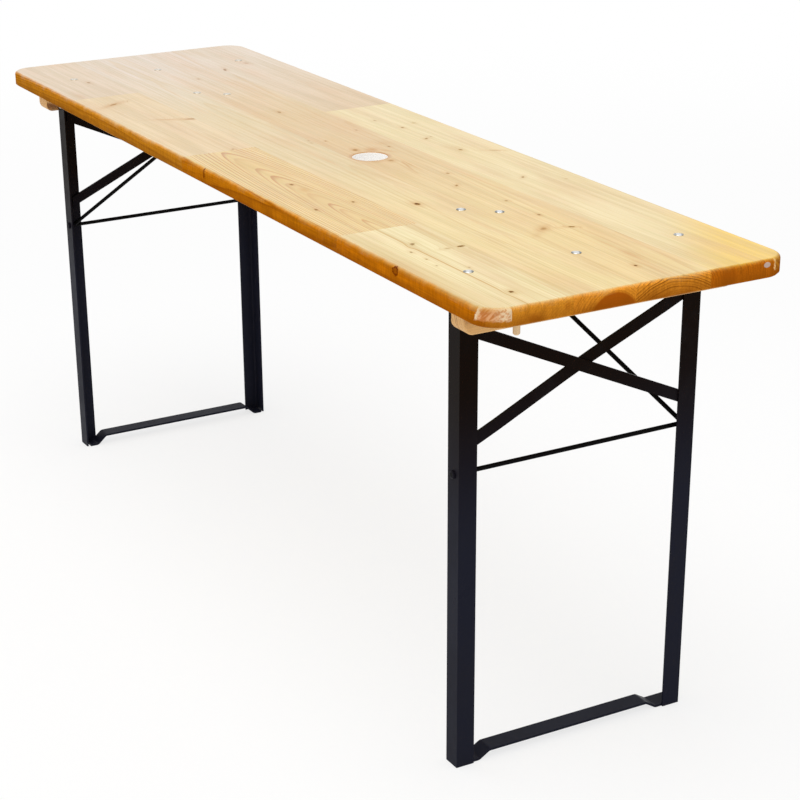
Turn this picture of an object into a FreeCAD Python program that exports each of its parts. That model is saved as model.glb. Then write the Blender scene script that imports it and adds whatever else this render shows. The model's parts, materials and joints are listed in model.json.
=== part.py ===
import FreeCAD, Part
import math
import os

os.makedirs("parts", exist_ok=True)

# Beer garden table: a glued pine top on two folding frames of angle steel, each held open by a rod brace.
# Millimetres. The origin is on the floor under the middle of the top, +X runs along the top, +Z is up.
# Each end is modelled once at +X, the near end, and the far end is the same end turned half round.

# Top
top_length = 1800.0
top_width = 500.0
top_thickness = 27.0
table_height = 760.0
corner_radius = 40.0
edge_radius = 6.0
under_bevel = 3.0
# Glue lines counted from the front edge, and the butt joints of each row counted from the far end
row_edge_shares = (0.0, 0.27, 0.472, 0.72, 1.0)
row_joint_shares = ((0.189, 0.468, 0.773), (), (), (0.371,))
row_names = ("front_board", "inner_front_board", "inner_rear_board", "rear_board")
# Umbrella hole
hole_radius = 29.0
hole_bevel = 1.5
hole_along_share = 0.5556
# Wood between the hole and the glue line in front of it
hole_margin = 5.0

# Battens and pegs under the ends of the top
batten_length = 450.0
batten_width = 38.0
batten_depth = 37.0
batten_setback = 92.0
batten_end_radius = 14.0
batten_bevel = 2.0
peg_radius = 5.0
peg_length = 34.0
peg_bite = 12.0
peg_setback = 28.0
peg_inset = 65.0
peg_tip_bevel = 2.0

# Angle steel legs
leg_flange = 30.0
leg_wall = 3.0
leg_root_radius = 4.0
leg_setback = 140.0
frame_width = 408.0
# The pivot hangs below the top, and the leg's cross flange is cut away from there up
pivot_drop = 21.0
pivot_radius = 4.0
cross_flange_drop = 15.0

# Crossed flat bars between the legs: the rising one bows gently over the falling one
bar_width = 18.0
bar_thickness = 4.0
bar_inset = 14.0
bar_rise = 172.0
bar_crossing_drop = 112.0
bow_flat = 50.0
bow_ramp = 130.0

# Foot bars, cranked so that only their ends stand on the floor: the far one higher and closer to its legs
foot_width = 30.0
foot_thickness = 4.0
foot_ramp = 18.0
foot_bend_radius = 6.0
near_foot_tab = 42.0
near_foot_lift = 11.0
far_foot_tab = 24.0
far_foot_lift = 16.0

# Hinge rail with an ear turned down at each end
rail_width = 44.0
rail_thickness = 4.0
rail_bend_radius = 5.0
rail_shift = 9.0
rail_bolt_inset = 27.5
ear_radius = 13.0
ear_gap = 0.4
rivet_head_radius = 7.0
rivet_crown_radius = 4.0
rivet_head_height = 4.0
rivet_gap = 0.3

# Brace of round rod: a cross rod through the legs and a bent rod up to the catch
rod_radius = 3.5
brace_drop = 242.0
brace_foot_inset = 9.0
brace_apex_width = 34.0
brace_bend_radius = 12.0
cap_radius = 6.0
cap_thickness = 3.0
cap_gap = 0.3

# Catch under the top that holds the bent rod
latch_reach = 265.0
latch_drop = 15.0
latch_length = 64.0
latch_width = 72.0
latch_thickness = 3.0
latch_corner_radius = 6.0
latch_bolt_along = 40.5
latch_bolt_across = 43.0
cheek_thickness = 3.0
cheek_gap = 12.0
cheek_front = 10.0
cheek_back = 14.0
cheek_lip = 8.0
cheek_corner_radius = 4.0
slot_clearance = 0.5
pin_radius = 2.0
pin_overhang = 1.0
pin_back = 8.0
pin_rise = 7.0
pawl_width = 10.0
pawl_boss_radius = 4.0
pawl_lift_degrees = 10.0
pawl_play = 1.0
pawl_rod_gap = 1.5
nose_front = 5.0
nose_width = 4.0
nose_clearance = 0.6
tab_reach = 30.0
tab_thickness = 3.0
spring_width = 6.0
spring_thickness = 0.6
spring_span = 20.0
spring_place = 14.0
spring_foot = 1.2
spring_gap = 0.3

# Fasteners, drawn with few sides together with their holes
fastener_sides = 8
bolt_radius = 3.0
bolt_head_radius = 7.8
bolt_crown_radius = 4.6
bolt_head_height = 2.6
bolt_tail = 2.0
washer_radius = 7.0
washer_thickness = 1.4
nut_across_flats = 10.0
nut_thickness = 5.0
screw_radius = 2.0
screw_head_radius = 4.0
screw_head_height = 3.5
screw_bite = 14.0
screw_inset = 45.0

# Fits
running_clearance = 0.05
fixed_clearance = 0.1
overrun = 20.0
flat_tolerance = 0.001

# Places worked out from the sizes above
half_length = top_length / 2
half_width = top_width / 2
underside = table_height - top_thickness
frame_half = frame_width / 2
side_inner = frame_half - leg_wall
leg_face = half_length - leg_setback
cross_inner = leg_face - leg_wall
pivot_x = leg_face - leg_flange / 2
pivot_z = underside - pivot_drop
cross_flange_top = pivot_z - cross_flange_drop
crossing_z = pivot_z - bar_crossing_drop
brace_z = pivot_z - brace_drop
brace_foot_y = frame_half - brace_foot_inset
catch_x = pivot_x - latch_reach
catch_z = underside - latch_drop
catch_rise = catch_z - brace_z
plate_under = underside - latch_thickness
rail_x = pivot_x - rail_shift
rail_under = underside - rail_thickness
rail_half = side_inner - ear_gap
batten_x = half_length - batten_setback - batten_width / 2
batten_under = underside - batten_depth
peg_x = half_length - peg_setback
peg_y = peg_inset - half_width
hole_x = top_length * hole_along_share - half_length
hole_y = top_width * row_edge_shares[2] - half_width + hole_margin + hole_radius
rail_bolt_ys = (rail_bolt_inset - frame_half, 0.0, frame_half - rail_bolt_inset)
screw_ys = (screw_inset - batten_length / 2, 0.0, batten_length / 2 - screw_inset)
latch_bolts = (
    (catch_x - latch_bolt_along / 2, -latch_bolt_across / 2),
    (catch_x + latch_bolt_along / 2, latch_bolt_across / 2),
)

# While the leg folds a quarter turn the bent rod turns until it lies along the leg. At the start of the fold
# the caught rod leaves the catch along this slope.
brace_turn_share = (math.pi - math.atan2(catch_rise, -latch_reach)) / (math.pi / 2)
leave_along = brace_drop + brace_turn_share * catch_rise
leave_down = brace_turn_share * latch_reach
leave_angle = math.atan2(leave_down, leave_along)


def vector(x, y, z):
    """A point or a direction."""
    return FreeCAD.Vector(x, y, z)


ACROSS = vector(0, 1, 0)
UP = vector(0, 0, 1)


def box(x_range, y_range, z_range):
    """A box between two places on each axis, given in either order."""
    low = vector(min(x_range), min(y_range), min(z_range))
    high = vector(max(x_range), max(y_range), max(z_range))
    size = high - low
    return Part.makeBox(size.x, size.y, size.z, low)


def upright(x, y, z_range, radius):
    """A cylinder along Z."""
    return Part.makeCylinder(radius, max(z_range) - min(z_range), vector(x, y, min(z_range)), UP)


def crossways(x, z, y_range, radius):
    """A cylinder along Y."""
    return Part.makeCylinder(radius, max(y_range) - min(y_range), vector(x, min(y_range), z), ACROSS)


def corner_arc(before, at, after, radius):
    """Entry, middle and exit points of the arc that rounds one corner."""
    back = (before - at).normalize()
    ahead = (after - at).normalize()
    half_angle = back.getAngle(ahead) / 2
    reach = radius / math.tan(half_angle)
    inward = (back + ahead).normalize()
    middle = at + inward * (radius / math.sin(half_angle) - radius)
    return at + back * reach, middle, at + ahead * reach


def rounded_edges(points, radii, closed):
    """Lines through the points, with an arc at each corner that has a radius."""
    edges = []
    count = len(points)
    stops = []
    for index, radius in enumerate(radii):
        at = points[index]
        if radius > 0:
            arc = corner_arc(points[index - 1], at, points[(index + 1) % count], radius)
            stops.append((arc[0], arc[2], Part.Arc(*arc).toShape()))
        else:
            stops.append((at, at, None))
    for index, (entry, leaving, arc) in enumerate(stops):
        if arc:
            edges.append(arc)
        last = index == count - 1
        following = stops[(index + 1) % count][0]
        if leaving.distanceToPoint(following) > flat_tolerance and (closed or not last):
            edges.append(Part.LineSegment(leaving, following).toShape())
    return edges


def rounded_face(points, radii):
    """A flat face with rounded corners."""
    return Part.Face(Part.Wire(rounded_edges(points, radii, True)))


def plain_face(points):
    """A flat face with sharp corners."""
    return rounded_face(points, (0,) * len(points))


def moved(shape, x, y, z):
    """A copy of a shape at another place."""
    copy = shape.copy()
    copy.translate(vector(x, y, z))
    return copy


def far_end(shape):
    """The far end's copy of a near end piece."""
    copy = shape.copy()
    copy.rotate(vector(0, 0, 0), UP, 180)
    return copy


def both_ends(shapes):
    """Near end solids with their far end copies, as one group of separate solids."""
    return Part.makeCompound(shapes + [far_end(shape) for shape in shapes])


def line(start, end):
    """A straight edge."""
    return Part.LineSegment(start, end).toShape()


def sided_ring(x, y, z, radius, sides):
    """Corners of a level outline with equal sides that lie at the radius."""
    corner = radius / math.cos(math.pi / sides)
    turns = [2 * math.pi * step / sides for step in range(sides)]
    return [vector(x + corner * math.cos(turn), y + corner * math.sin(turn), z) for turn in turns]


def sided_post(x, y, z_range, radius, sides=fastener_sides):
    """An upright post with flat sides."""
    outline = plain_face(sided_ring(x, y, min(z_range), radius, sides))
    return outline.extrude(vector(0, 0, max(z_range) - min(z_range)))


def sided_solid(levels):
    """A solid with few sides about the Z axis, through heights and radii from the bottom up."""
    rings = [sided_ring(0, 0, z, radius, fastener_sides) for z, radius in levels]
    faces = [plain_face(rings[0][::-1]), plain_face(rings[-1])]
    for low, high in zip(rings, rings[1:]):
        for index in range(fastener_sides):
            before = index - 1
            faces.append(plain_face([low[before], low[index], high[index], high[before]]))
    shell = Part.makeShell(faces)
    shell.sewShape()
    return Part.makeSolid(shell)


def bolt():
    """Bolt through the top, with its low head on the top's face."""
    tail = rail_under - washer_thickness - nut_thickness - bolt_tail
    return sided_solid([
        (tail, bolt_radius),
        (table_height, bolt_radius),
        (table_height, bolt_head_radius),
        (table_height + bolt_head_height, bolt_crown_radius),
    ])


def washer(seat):
    """Flat washer under a seat."""
    z_range = (seat - washer_thickness, seat)
    return sided_post(0, 0, z_range, washer_radius).cut(sided_post(0, 0, z_range, bolt_radius + fixed_clearance))


def nut(seat):
    """Hexagon nut under a seat."""
    z_range = (seat - nut_thickness, seat)
    block = sided_post(0, 0, z_range, nut_across_flats / 2, sides=6)
    return block.cut(sided_post(0, 0, z_range, bolt_radius + fixed_clearance))


def bolt_places():
    """Where the near end's bolts stand, with the steel face that each one clamps."""
    rail = [(rail_x, y, rail_under) for y in rail_bolt_ys]
    latch = [(x, y, plate_under) for x, y in latch_bolts]
    return rail + latch


def screw(spare):
    """Countersunk wood screw that comes up through the batten, larger all round by a spare clearance."""
    return sided_solid([
        (batten_under, screw_head_radius + spare),
        (batten_under + screw_head_height, screw_radius + spare),
        (underside + screw_bite + spare, screw_radius + spare),
    ])


def screws(spare):
    """The near batten's screws."""
    return [moved(screw(spare), batten_x, y, 0) for y in screw_ys]


def peg():
    """Short wooden peg let into the underside, with a bevelled tip."""
    top = underside + peg_bite
    tip = top - peg_length
    half_section = [
        vector(0, 0, tip),
        vector(peg_radius - peg_tip_bevel, 0, tip),
        vector(peg_radius, 0, tip + peg_tip_bevel),
        vector(peg_radius, 0, top),
        vector(0, 0, top),
    ]
    pin = plain_face(half_section).revolve(vector(0, 0, 0), UP, 360)
    return moved(pin, peg_x, peg_y, 0)


def peg_socket():
    """Blind hole for the peg."""
    return upright(peg_x, peg_y, (underside - overrun, underside + peg_bite), peg_radius + running_clearance)


def top_blank():
    """The whole top before it is drilled, with round corners, a rounded upper arris and a bevelled lower one."""
    plan = [
        vector(-half_length, -half_width, underside),
        vector(half_length, -half_width, underside),
        vector(half_length, half_width, underside),
        vector(-half_length, half_width, underside),
    ]
    slab = rounded_face(plan, (corner_radius,) * len(plan)).extrude(vector(0, 0, top_thickness))
    upper = [edge for edge in slab.Edges if edge.BoundBox.ZMin > table_height - flat_tolerance]
    rounded = slab.makeFillet(edge_radius, upper)
    lower = [edge for edge in rounded.Edges if edge.BoundBox.ZMax < underside + flat_tolerance]
    return rounded.makeChamfer(under_bevel, lower)


def umbrella_hole(blank):
    """The blank with the umbrella hole cut and its rims bevelled."""
    z_range = (underside - overrun, table_height + overrun)
    holed = blank.cut(upright(hole_x, hole_y, z_range, hole_radius))
    centre = vector(hole_x, hole_y, 0)
    rims = []
    for edge in holed.Edges:
        middle = edge.BoundBox.Center
        level = edge.BoundBox.ZLength < flat_tolerance
        if level and vector(middle.x, middle.y, 0).distanceToPoint(centre) < hole_radius / 2:
            rims.append(edge)
    return holed.makeChamfer(hole_bevel, rims)


def drilled_top():
    """The top with every hole, still in one piece."""
    z_range = (underside - overrun, table_height + overrun)
    near = [sided_post(x, y, z_range, bolt_radius + fixed_clearance) for x, y, seat in bolt_places()]
    near += screws(fixed_clearance)
    near.append(peg_socket())
    return umbrella_hole(top_blank()).cut(both_ends(near))


def boards():
    """The glued boards, row by row from the front and from the far end."""
    drilled = drilled_top()
    z_range = (underside - overrun, table_height + overrun)
    pieces = {}
    for row, name in enumerate(row_names):
        y_range = [share * top_width - half_width for share in row_edge_shares[row:row + 2]]
        stops = (0.0,) + row_joint_shares[row] + (1.0,)
        for index in range(len(stops) - 1):
            x_range = [share * top_length - half_length for share in stops[index:index + 2]]
            board = drilled.common(box(x_range, y_range, z_range))
            node = name if len(stops) == 2 else f"{name}_{index + 1}"
            pieces[node] = board
    return pieces


def batten():
    """Batten across the underside, its lower corners rounded and its arrises bevelled."""
    half = batten_length / 2
    inner = batten_x - batten_width / 2
    points = [
        vector(inner, -half, underside),
        vector(inner, -half, batten_under),
        vector(inner, half, batten_under),
        vector(inner, half, underside),
    ]
    radii = (0, batten_end_radius, batten_end_radius, 0)
    block = rounded_face(points, radii).extrude(vector(batten_width, 0, 0))
    arrises = []
    for edge in block.Edges:
        on_side = edge.BoundBox.XLength < flat_tolerance
        if on_side and edge.BoundBox.ZMin < underside - flat_tolerance:
            arrises.append(edge)
    bevelled = block.makeChamfer(batten_bevel, arrises)
    return bevelled.cut(Part.makeCompound(screws(fixed_clearance)))


def angle_leg(side):
    """Angle steel leg with its corner outwards and its head rounded about the pivot."""
    head_radius = leg_flange / 2
    heel = side * frame_half
    toe = side * (frame_half - leg_flange)
    back = leg_face - leg_flange
    points = [
        vector(leg_face, heel, 0),
        vector(leg_face, toe, 0),
        vector(cross_inner, toe, 0),
        vector(cross_inner, side * side_inner, 0),
        vector(back, side * side_inner, 0),
        vector(back, heel, 0),
    ]
    radii = (0, 0, 0, leg_root_radius, 0, 0)
    section = rounded_face(points, radii).extrude(vector(0, 0, pivot_z + head_radius))
    y_range = (heel, toe)
    outline = box((back, leg_face), y_range, (0, pivot_z)).fuse(crossways(pivot_x, pivot_z, y_range, head_radius))
    notch_top = pivot_z + head_radius + overrun
    notch = box((back - overrun, leg_face + overrun), (toe, side * side_inner), (cross_flange_top, notch_top))
    leg = section.common(outline).cut(notch)
    through = (heel + side * overrun, toe)
    leg = leg.cut(crossways(pivot_x, pivot_z, through, pivot_radius + running_clearance))
    return leg.cut(crossways(pivot_x, brace_z, through, rod_radius + running_clearance))


def cross_bar(rising):
    """Flat bar from the head of one leg to the other leg, welded inside the cross flanges."""
    span = 2 * (frame_half - bar_inset)
    half = math.hypot(span, bar_rise) / 2 + overrun
    near_face = [(0, -half), (0, half)]
    if rising:
        middle = bow_flat / 2
        ramp = middle + bow_ramp
        near_face = [
            (0, -half),
            (0, -ramp),
            (-bar_thickness, -middle),
            (-bar_thickness, middle),
            (0, ramp),
            (0, half),
        ]
    far_face = [(depth - bar_thickness, along) for depth, along in reversed(near_face)]
    points = [vector(depth, along, -bar_width / 2) for depth, along in near_face + far_face]
    bar = plain_face(points).extrude(vector(0, 0, bar_width))
    tilt = math.degrees(math.atan2(bar_rise, span))
    bar.rotate(vector(0, 0, 0), vector(1, 0, 0), tilt if rising else -tilt)
    bar.translate(vector(cross_inner, 0, crossing_z))
    reach = (cross_inner - overrun, cross_inner)
    return bar.common(box(reach, (-span / 2, span / 2), (crossing_z - bar_rise, crossing_z + bar_rise)))


def foot_bar(tab_reach, lift):
    """Flat bar between the feet of the legs, cranked up from the floor at both ends."""
    end = side_inner - leg_root_radius - fixed_clearance
    tab = frame_half - tab_reach
    level = tab - foot_ramp
    lower = [(-end, 0), (-tab, 0), (-level, lift), (level, lift), (tab, 0), (end, 0)]
    upper = [(y, z + foot_thickness) for y, z in reversed(lower)]
    inside = foot_bend_radius
    outside = foot_bend_radius + foot_thickness
    lower_radii = (0, outside, inside, inside, outside, 0)
    upper_radii = (0, inside, outside, outside, inside, 0)
    points = [vector(cross_inner - foot_width, y, z) for y, z in lower + upper]
    return rounded_face(points, lower_radii + upper_radii).extrude(vector(foot_width, 0, 0))


def hinge_rail():
    """Flat rail bolted across the underside, with an ear for each leg's pivot."""
    ear_low = pivot_z - ear_radius - overrun
    inner = rail_half - rail_thickness
    outline = [
        (-rail_half, ear_low),
        (-rail_half, underside),
        (rail_half, underside),
        (rail_half, ear_low),
        (inner, ear_low),
        (inner, rail_under),
        (-inner, rail_under),
        (-inner, ear_low),
    ]
    inside = rail_bend_radius - rail_thickness
    radii = (0, rail_bend_radius, rail_bend_radius, 0, 0, inside, inside, 0)
    back = rail_x - rail_width / 2
    points = [vector(back, y, z) for y, z in outline]
    bent = rounded_face(points, radii).extrude(vector(rail_width, 0, 0))
    y_range = (-rail_half, rail_half)
    strip = box((back, back + rail_width), y_range, (rail_under, underside))
    ears = box((pivot_x - ear_radius, pivot_x + ear_radius), y_range, (pivot_z, underside))
    ears = ears.fuse(crossways(pivot_x, pivot_z, y_range, ear_radius))
    rail = bent.common(strip.fuse(ears))
    holes = [crossways(pivot_x, pivot_z, y_range, pivot_radius + running_clearance)]
    z_range = (rail_under, underside)
    holes += [sided_post(rail_x, y, z_range, bolt_radius + fixed_clearance) for y in rail_bolt_ys]
    return rail.cut(Part.makeCompound(holes))


def pivot_rivet(side):
    """Rivet with a round shank and low heads, through a rail's ear and the side flange of a leg."""
    inner = rail_half - rail_thickness
    outer = frame_half + rivet_gap
    outer_head = sided_solid([
        (outer, rivet_head_radius),
        (outer + rivet_head_height, rivet_crown_radius),
    ])
    inner_head = sided_solid([
        (inner - rivet_head_height, rivet_crown_radius),
        (inner, rivet_head_radius),
    ])
    rivet = upright(0, 0, (inner, outer), pivot_radius).fuse([outer_head, inner_head])
    rivet.rotate(vector(0, 0, 0), vector(1, 0, 0), -90 * side)
    rivet.translate(vector(pivot_x, 0, pivot_z))
    return rivet


def brace_cross_rod():
    """Straight rod through both legs, on which the brace turns."""
    end = frame_half + cap_gap + cap_thickness
    return crossways(pivot_x, brace_z, (-end, end), rod_radius)


def brace_bent_rod():
    """Rod bent to a flat-topped peak, its feet coped to the cross rod."""
    apex = brace_apex_width / 2
    points = [
        vector(pivot_x, -brace_foot_y, brace_z),
        vector(catch_x, -apex, catch_z),
        vector(catch_x, apex, catch_z),
        vector(pivot_x, brace_foot_y, brace_z),
    ]
    path = Part.Wire(rounded_edges(points, (0, brace_bend_radius, brace_bend_radius, 0), False))
    along = (points[1] - points[0]).normalize()
    section = Part.Wire(Part.Circle(points[0], along, rod_radius).toShape())
    rod = path.makePipeShell([section], True, False)
    reach = (-frame_half, frame_half)
    return rod.cut(crossways(pivot_x, brace_z, reach, rod_radius + running_clearance))


def brace_cap(side):
    """Push-on cap that keeps the cross rod in the legs."""
    z_range = (frame_half + cap_gap, frame_half + cap_gap + cap_thickness)
    ring = sided_post(0, 0, z_range, cap_radius).cut(upright(0, 0, z_range, rod_radius + running_clearance))
    ring.rotate(vector(0, 0, 0), vector(1, 0, 0), -90 * side)
    ring.translate(vector(pivot_x, 0, brace_z))
    return ring


def cheek(side):
    """Side of the catch, with a slot that the caught rod leaves along its own path."""
    low = catch_z - rod_radius - slot_clearance - cheek_lip
    inner = side * cheek_gap / 2
    points = [
        vector(catch_x - cheek_front, inner, plate_under),
        vector(catch_x - cheek_front, inner, low),
        vector(catch_x + cheek_back, inner, low),
        vector(catch_x + cheek_back, inner, plate_under),
    ]
    radii = (0, cheek_corner_radius, cheek_corner_radius, 0)
    return rounded_face(points, radii).extrude(vector(0, side * cheek_thickness, 0))


def rod_slot():
    """The way that the caught rod takes out of the cheeks."""
    reach = cheek_gap / 2 + cheek_thickness
    radius = rod_radius + slot_clearance
    end = crossways(catch_x, catch_z, (-reach, reach), radius)
    length = cheek_front + overrun
    way = box((-length, 0), (-reach, reach), (-radius, radius))
    way.rotate(vector(0, 0, 0), ACROSS, -math.degrees(leave_angle))
    way.translate(vector(catch_x, 0, catch_z))
    return end.fuse(way)


def latch_plate():
    """Plate bolted under the top, with two slotted cheeks for the rod and the pawl's pin."""
    half_along = latch_length / 2
    half_across = latch_width / 2
    plan = [
        vector(catch_x - half_along, -half_across, plate_under),
        vector(catch_x + half_along, -half_across, plate_under),
        vector(catch_x + half_along, half_across, plate_under),
        vector(catch_x - half_along, half_across, plate_under),
    ]
    plate = rounded_face(plan, (latch_corner_radius,) * len(plan)).extrude(vector(0, 0, latch_thickness))
    z_range = (plate_under, underside)
    plate = plate.fuse([cheek(-1), cheek(1)])
    holes = [sided_post(x, y, z_range, bolt_radius + fixed_clearance) for x, y in latch_bolts]
    reach = cheek_gap / 2 + cheek_thickness
    pin_hole = crossways(catch_x + pin_back, catch_z + pin_rise, (-reach, reach), pin_radius + running_clearance)
    return plate.cut(Part.makeCompound(holes + [rod_slot(), pin_hole]))


def catch_pin():
    """Pin across the cheeks that the pawl turns on."""
    end = cheek_gap / 2 + cheek_thickness + pin_overhang
    return crossways(catch_x + pin_back, catch_z + pin_rise, (-end, end), pin_radius)


def pawl_top(along):
    """Height of the pawl's back over the rod's axis: a line from the boss to the lifted tab's limit."""
    boss = pin_rise + pawl_boss_radius
    lever = pin_back + tab_reach
    tab = plate_under - catch_z - lever * math.sin(math.radians(pawl_lift_degrees)) - pawl_play
    return boss + (tab - boss) * (pin_back - along) / lever


def catch_pawl():
    """Pawl whose nose drops behind the caught rod and whose tab is pressed up to free it."""
    under = rod_radius + pawl_rod_gap
    nose_back = nose_front + nose_width
    way_top = rod_radius / math.cos(leave_angle) - nose_front * math.tan(leave_angle)
    nose_low = way_top + nose_clearance
    tab = pawl_top(-tab_reach)
    outline = [
        (pin_back, pin_rise + pawl_boss_radius),
        (-tab_reach, tab),
        (-tab_reach, tab - tab_thickness),
        (-nose_back, under),
        (-nose_back, nose_low),
        (-nose_front, nose_low),
        (-nose_front, under),
        (pin_back - pawl_boss_radius, under),
        (pin_back, pin_rise),
    ]
    points = [vector(catch_x + along, -pawl_width / 2, catch_z + rise) for along, rise in outline]
    arm = plain_face(points).extrude(vector(0, pawl_width, 0))
    y_range = (-pawl_width / 2, pawl_width / 2)
    x = catch_x + pin_back
    z = catch_z + pin_rise
    boss = crossways(x, z, y_range, pawl_boss_radius)
    return arm.fuse(boss).cut(crossways(x, z, y_range, pin_radius + running_clearance)).removeSplitter()


def catch_spring():
    """Bowed leaf spring between the plate and the pawl's back."""
    middle = catch_x - spring_place
    crest = catch_z + pawl_top(-spring_place) + spring_gap
    start = middle - spring_span / 2
    end = middle + spring_span / 2
    y = -spring_width / 2
    low = Part.Arc(vector(start, y, plate_under), vector(middle, y, crest), vector(end, y, plate_under))
    high = Part.Arc(
        vector(end - spring_foot, y, plate_under),
        vector(middle, y, crest + spring_thickness),
        vector(start + spring_foot, y, plate_under),
    )
    feet = [
        line(vector(end, y, plate_under), vector(end - spring_foot, y, plate_under)),
        line(vector(start + spring_foot, y, plate_under), vector(start, y, plate_under)),
    ]
    outline = Part.Wire([low.toShape(), feet[0], high.toShape(), feet[1]])
    return Part.Face(outline).extrude(vector(0, spring_width, 0))


def fasteners():
    """Groups of identical fasteners."""
    places = bolt_places()
    return {
        "top_bolts": both_ends([moved(bolt(), x, y, 0) for x, y, seat in places]),
        "top_washers": both_ends([moved(washer(seat), x, y, 0) for x, y, seat in places]),
        "top_nuts": both_ends([moved(nut(seat - washer_thickness), x, y, 0) for x, y, seat in places]),
        "batten_screws": both_ends(screws(0)),
        "pivot_rivets": both_ends([pivot_rivet(-1), pivot_rivet(1)]),
        "catch_pins": both_ends([catch_pin()]),
    }


def end_pieces():
    """Pieces that each end has one of, as the near end holds them."""
    return {
        "batten": batten(),
        "peg": peg(),
        "hinge_rail": hinge_rail(),
        "latch_plate": latch_plate(),
        "catch_pawl": catch_pawl(),
        "catch_spring": catch_spring(),
        "falling_bar": cross_bar(False),
        "rising_bar": cross_bar(True),
        "foot_bar": foot_bar(near_foot_tab, near_foot_lift),
        "brace_bent_rod": brace_bent_rod(),
        "brace_cross_rod": brace_cross_rod(),
        "brace_caps": Part.makeCompound([brace_cap(-1), brace_cap(1)]),
    }


def legs():
    """The four legs: turned half round, a front leg of the near end is a rear leg of the far end."""
    front = angle_leg(-1)
    rear = angle_leg(1)
    return {
        "near_front_leg": front,
        "near_rear_leg": rear,
        "far_front_leg": far_end(rear),
        "far_rear_leg": far_end(front),
    }


def table():
    """Every node of the table by name."""
    nodes = boards()
    nodes.update(fasteners())
    nodes.update(legs())
    for name, piece in end_pieces().items():
        nodes["near_" + name] = piece
        nodes["far_" + name] = far_end(piece)
    nodes["far_foot_bar"] = far_end(foot_bar(far_foot_tab, far_foot_lift))
    return nodes


for node_name, node_shape in table().items():
    solids = node_shape.Solids
    single = solids[0] if len(solids) == 1 else Part.makeCompound(solids)
    single.exportStep(f"parts/{node_name}.step")
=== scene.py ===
import json
import logging
import math
from dataclasses import dataclass, field
from enum import Enum
from typing import Callable, ClassVar, Sequence

import bmesh
import bpy
from mathutils import Matrix, Vector


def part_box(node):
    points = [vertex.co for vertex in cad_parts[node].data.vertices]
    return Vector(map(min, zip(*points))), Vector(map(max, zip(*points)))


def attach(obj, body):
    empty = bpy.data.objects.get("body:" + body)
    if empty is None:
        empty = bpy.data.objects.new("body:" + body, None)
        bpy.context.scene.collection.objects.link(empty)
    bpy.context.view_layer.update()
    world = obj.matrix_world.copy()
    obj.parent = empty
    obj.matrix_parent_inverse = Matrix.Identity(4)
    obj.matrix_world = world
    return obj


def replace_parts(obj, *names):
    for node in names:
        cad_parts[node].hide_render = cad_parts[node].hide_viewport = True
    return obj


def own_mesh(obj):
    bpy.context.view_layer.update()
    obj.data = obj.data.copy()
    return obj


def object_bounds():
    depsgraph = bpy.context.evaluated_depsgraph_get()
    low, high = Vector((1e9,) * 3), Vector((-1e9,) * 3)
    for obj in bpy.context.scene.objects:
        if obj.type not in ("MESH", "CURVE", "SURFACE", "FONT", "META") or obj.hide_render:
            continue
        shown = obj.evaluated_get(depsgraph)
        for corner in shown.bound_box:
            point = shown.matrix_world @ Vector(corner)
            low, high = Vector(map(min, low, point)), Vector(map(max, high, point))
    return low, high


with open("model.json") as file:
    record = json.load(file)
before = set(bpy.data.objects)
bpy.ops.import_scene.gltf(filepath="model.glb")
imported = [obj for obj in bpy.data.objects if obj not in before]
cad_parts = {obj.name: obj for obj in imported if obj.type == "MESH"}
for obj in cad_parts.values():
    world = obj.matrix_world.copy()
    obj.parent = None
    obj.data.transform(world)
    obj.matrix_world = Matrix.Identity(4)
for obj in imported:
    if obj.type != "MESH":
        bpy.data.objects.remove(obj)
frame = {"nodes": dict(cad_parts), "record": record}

LOG = logging.getLogger("beer_garden_table")
CAD_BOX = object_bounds()
PEAK = CAD_BOX[1].z
MM = 0.001
SHARP_ANGLE = math.radians(38.0)
WHITE = (1.0, 1.0, 1.0)
Pair = tuple[float, float]
Triple = tuple[float, float, float]
Colour = Triple
Socket = bpy.types.NodeSocket
Feed = float | Sequence[float] | Socket


class End(Enum):
    """An end of the table and the side of the middle that it stands on."""

    NEAR = 1
    FAR = -1

    @property
    def prefix(self) -> str:
        """First word of the end's node names."""
        return self.name.lower()


class Grain(Enum):
    """Which way a piece's fibres run, as the order in which its axes feed the grain."""

    ACROSS = (1, 0, 2)
    UPRIGHT = (2, 0, 1)


class Slot(Enum):
    """Material slots of the part's record."""

    PAINT = "black_paint"
    ZINC = "zinc_steel"
    SPRING = "spring_steel"


class SocketKind(Enum):
    """Kinds of group socket."""

    NUMBER = "NodeSocketFloat"
    VECTOR = "NodeSocketVector"


@dataclass(frozen=True)
class Step:
    """A smooth change: where it starts and ends, and the results before and after it."""

    low: float
    high: float
    before: float = 0.0
    after: float = 1.0


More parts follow.
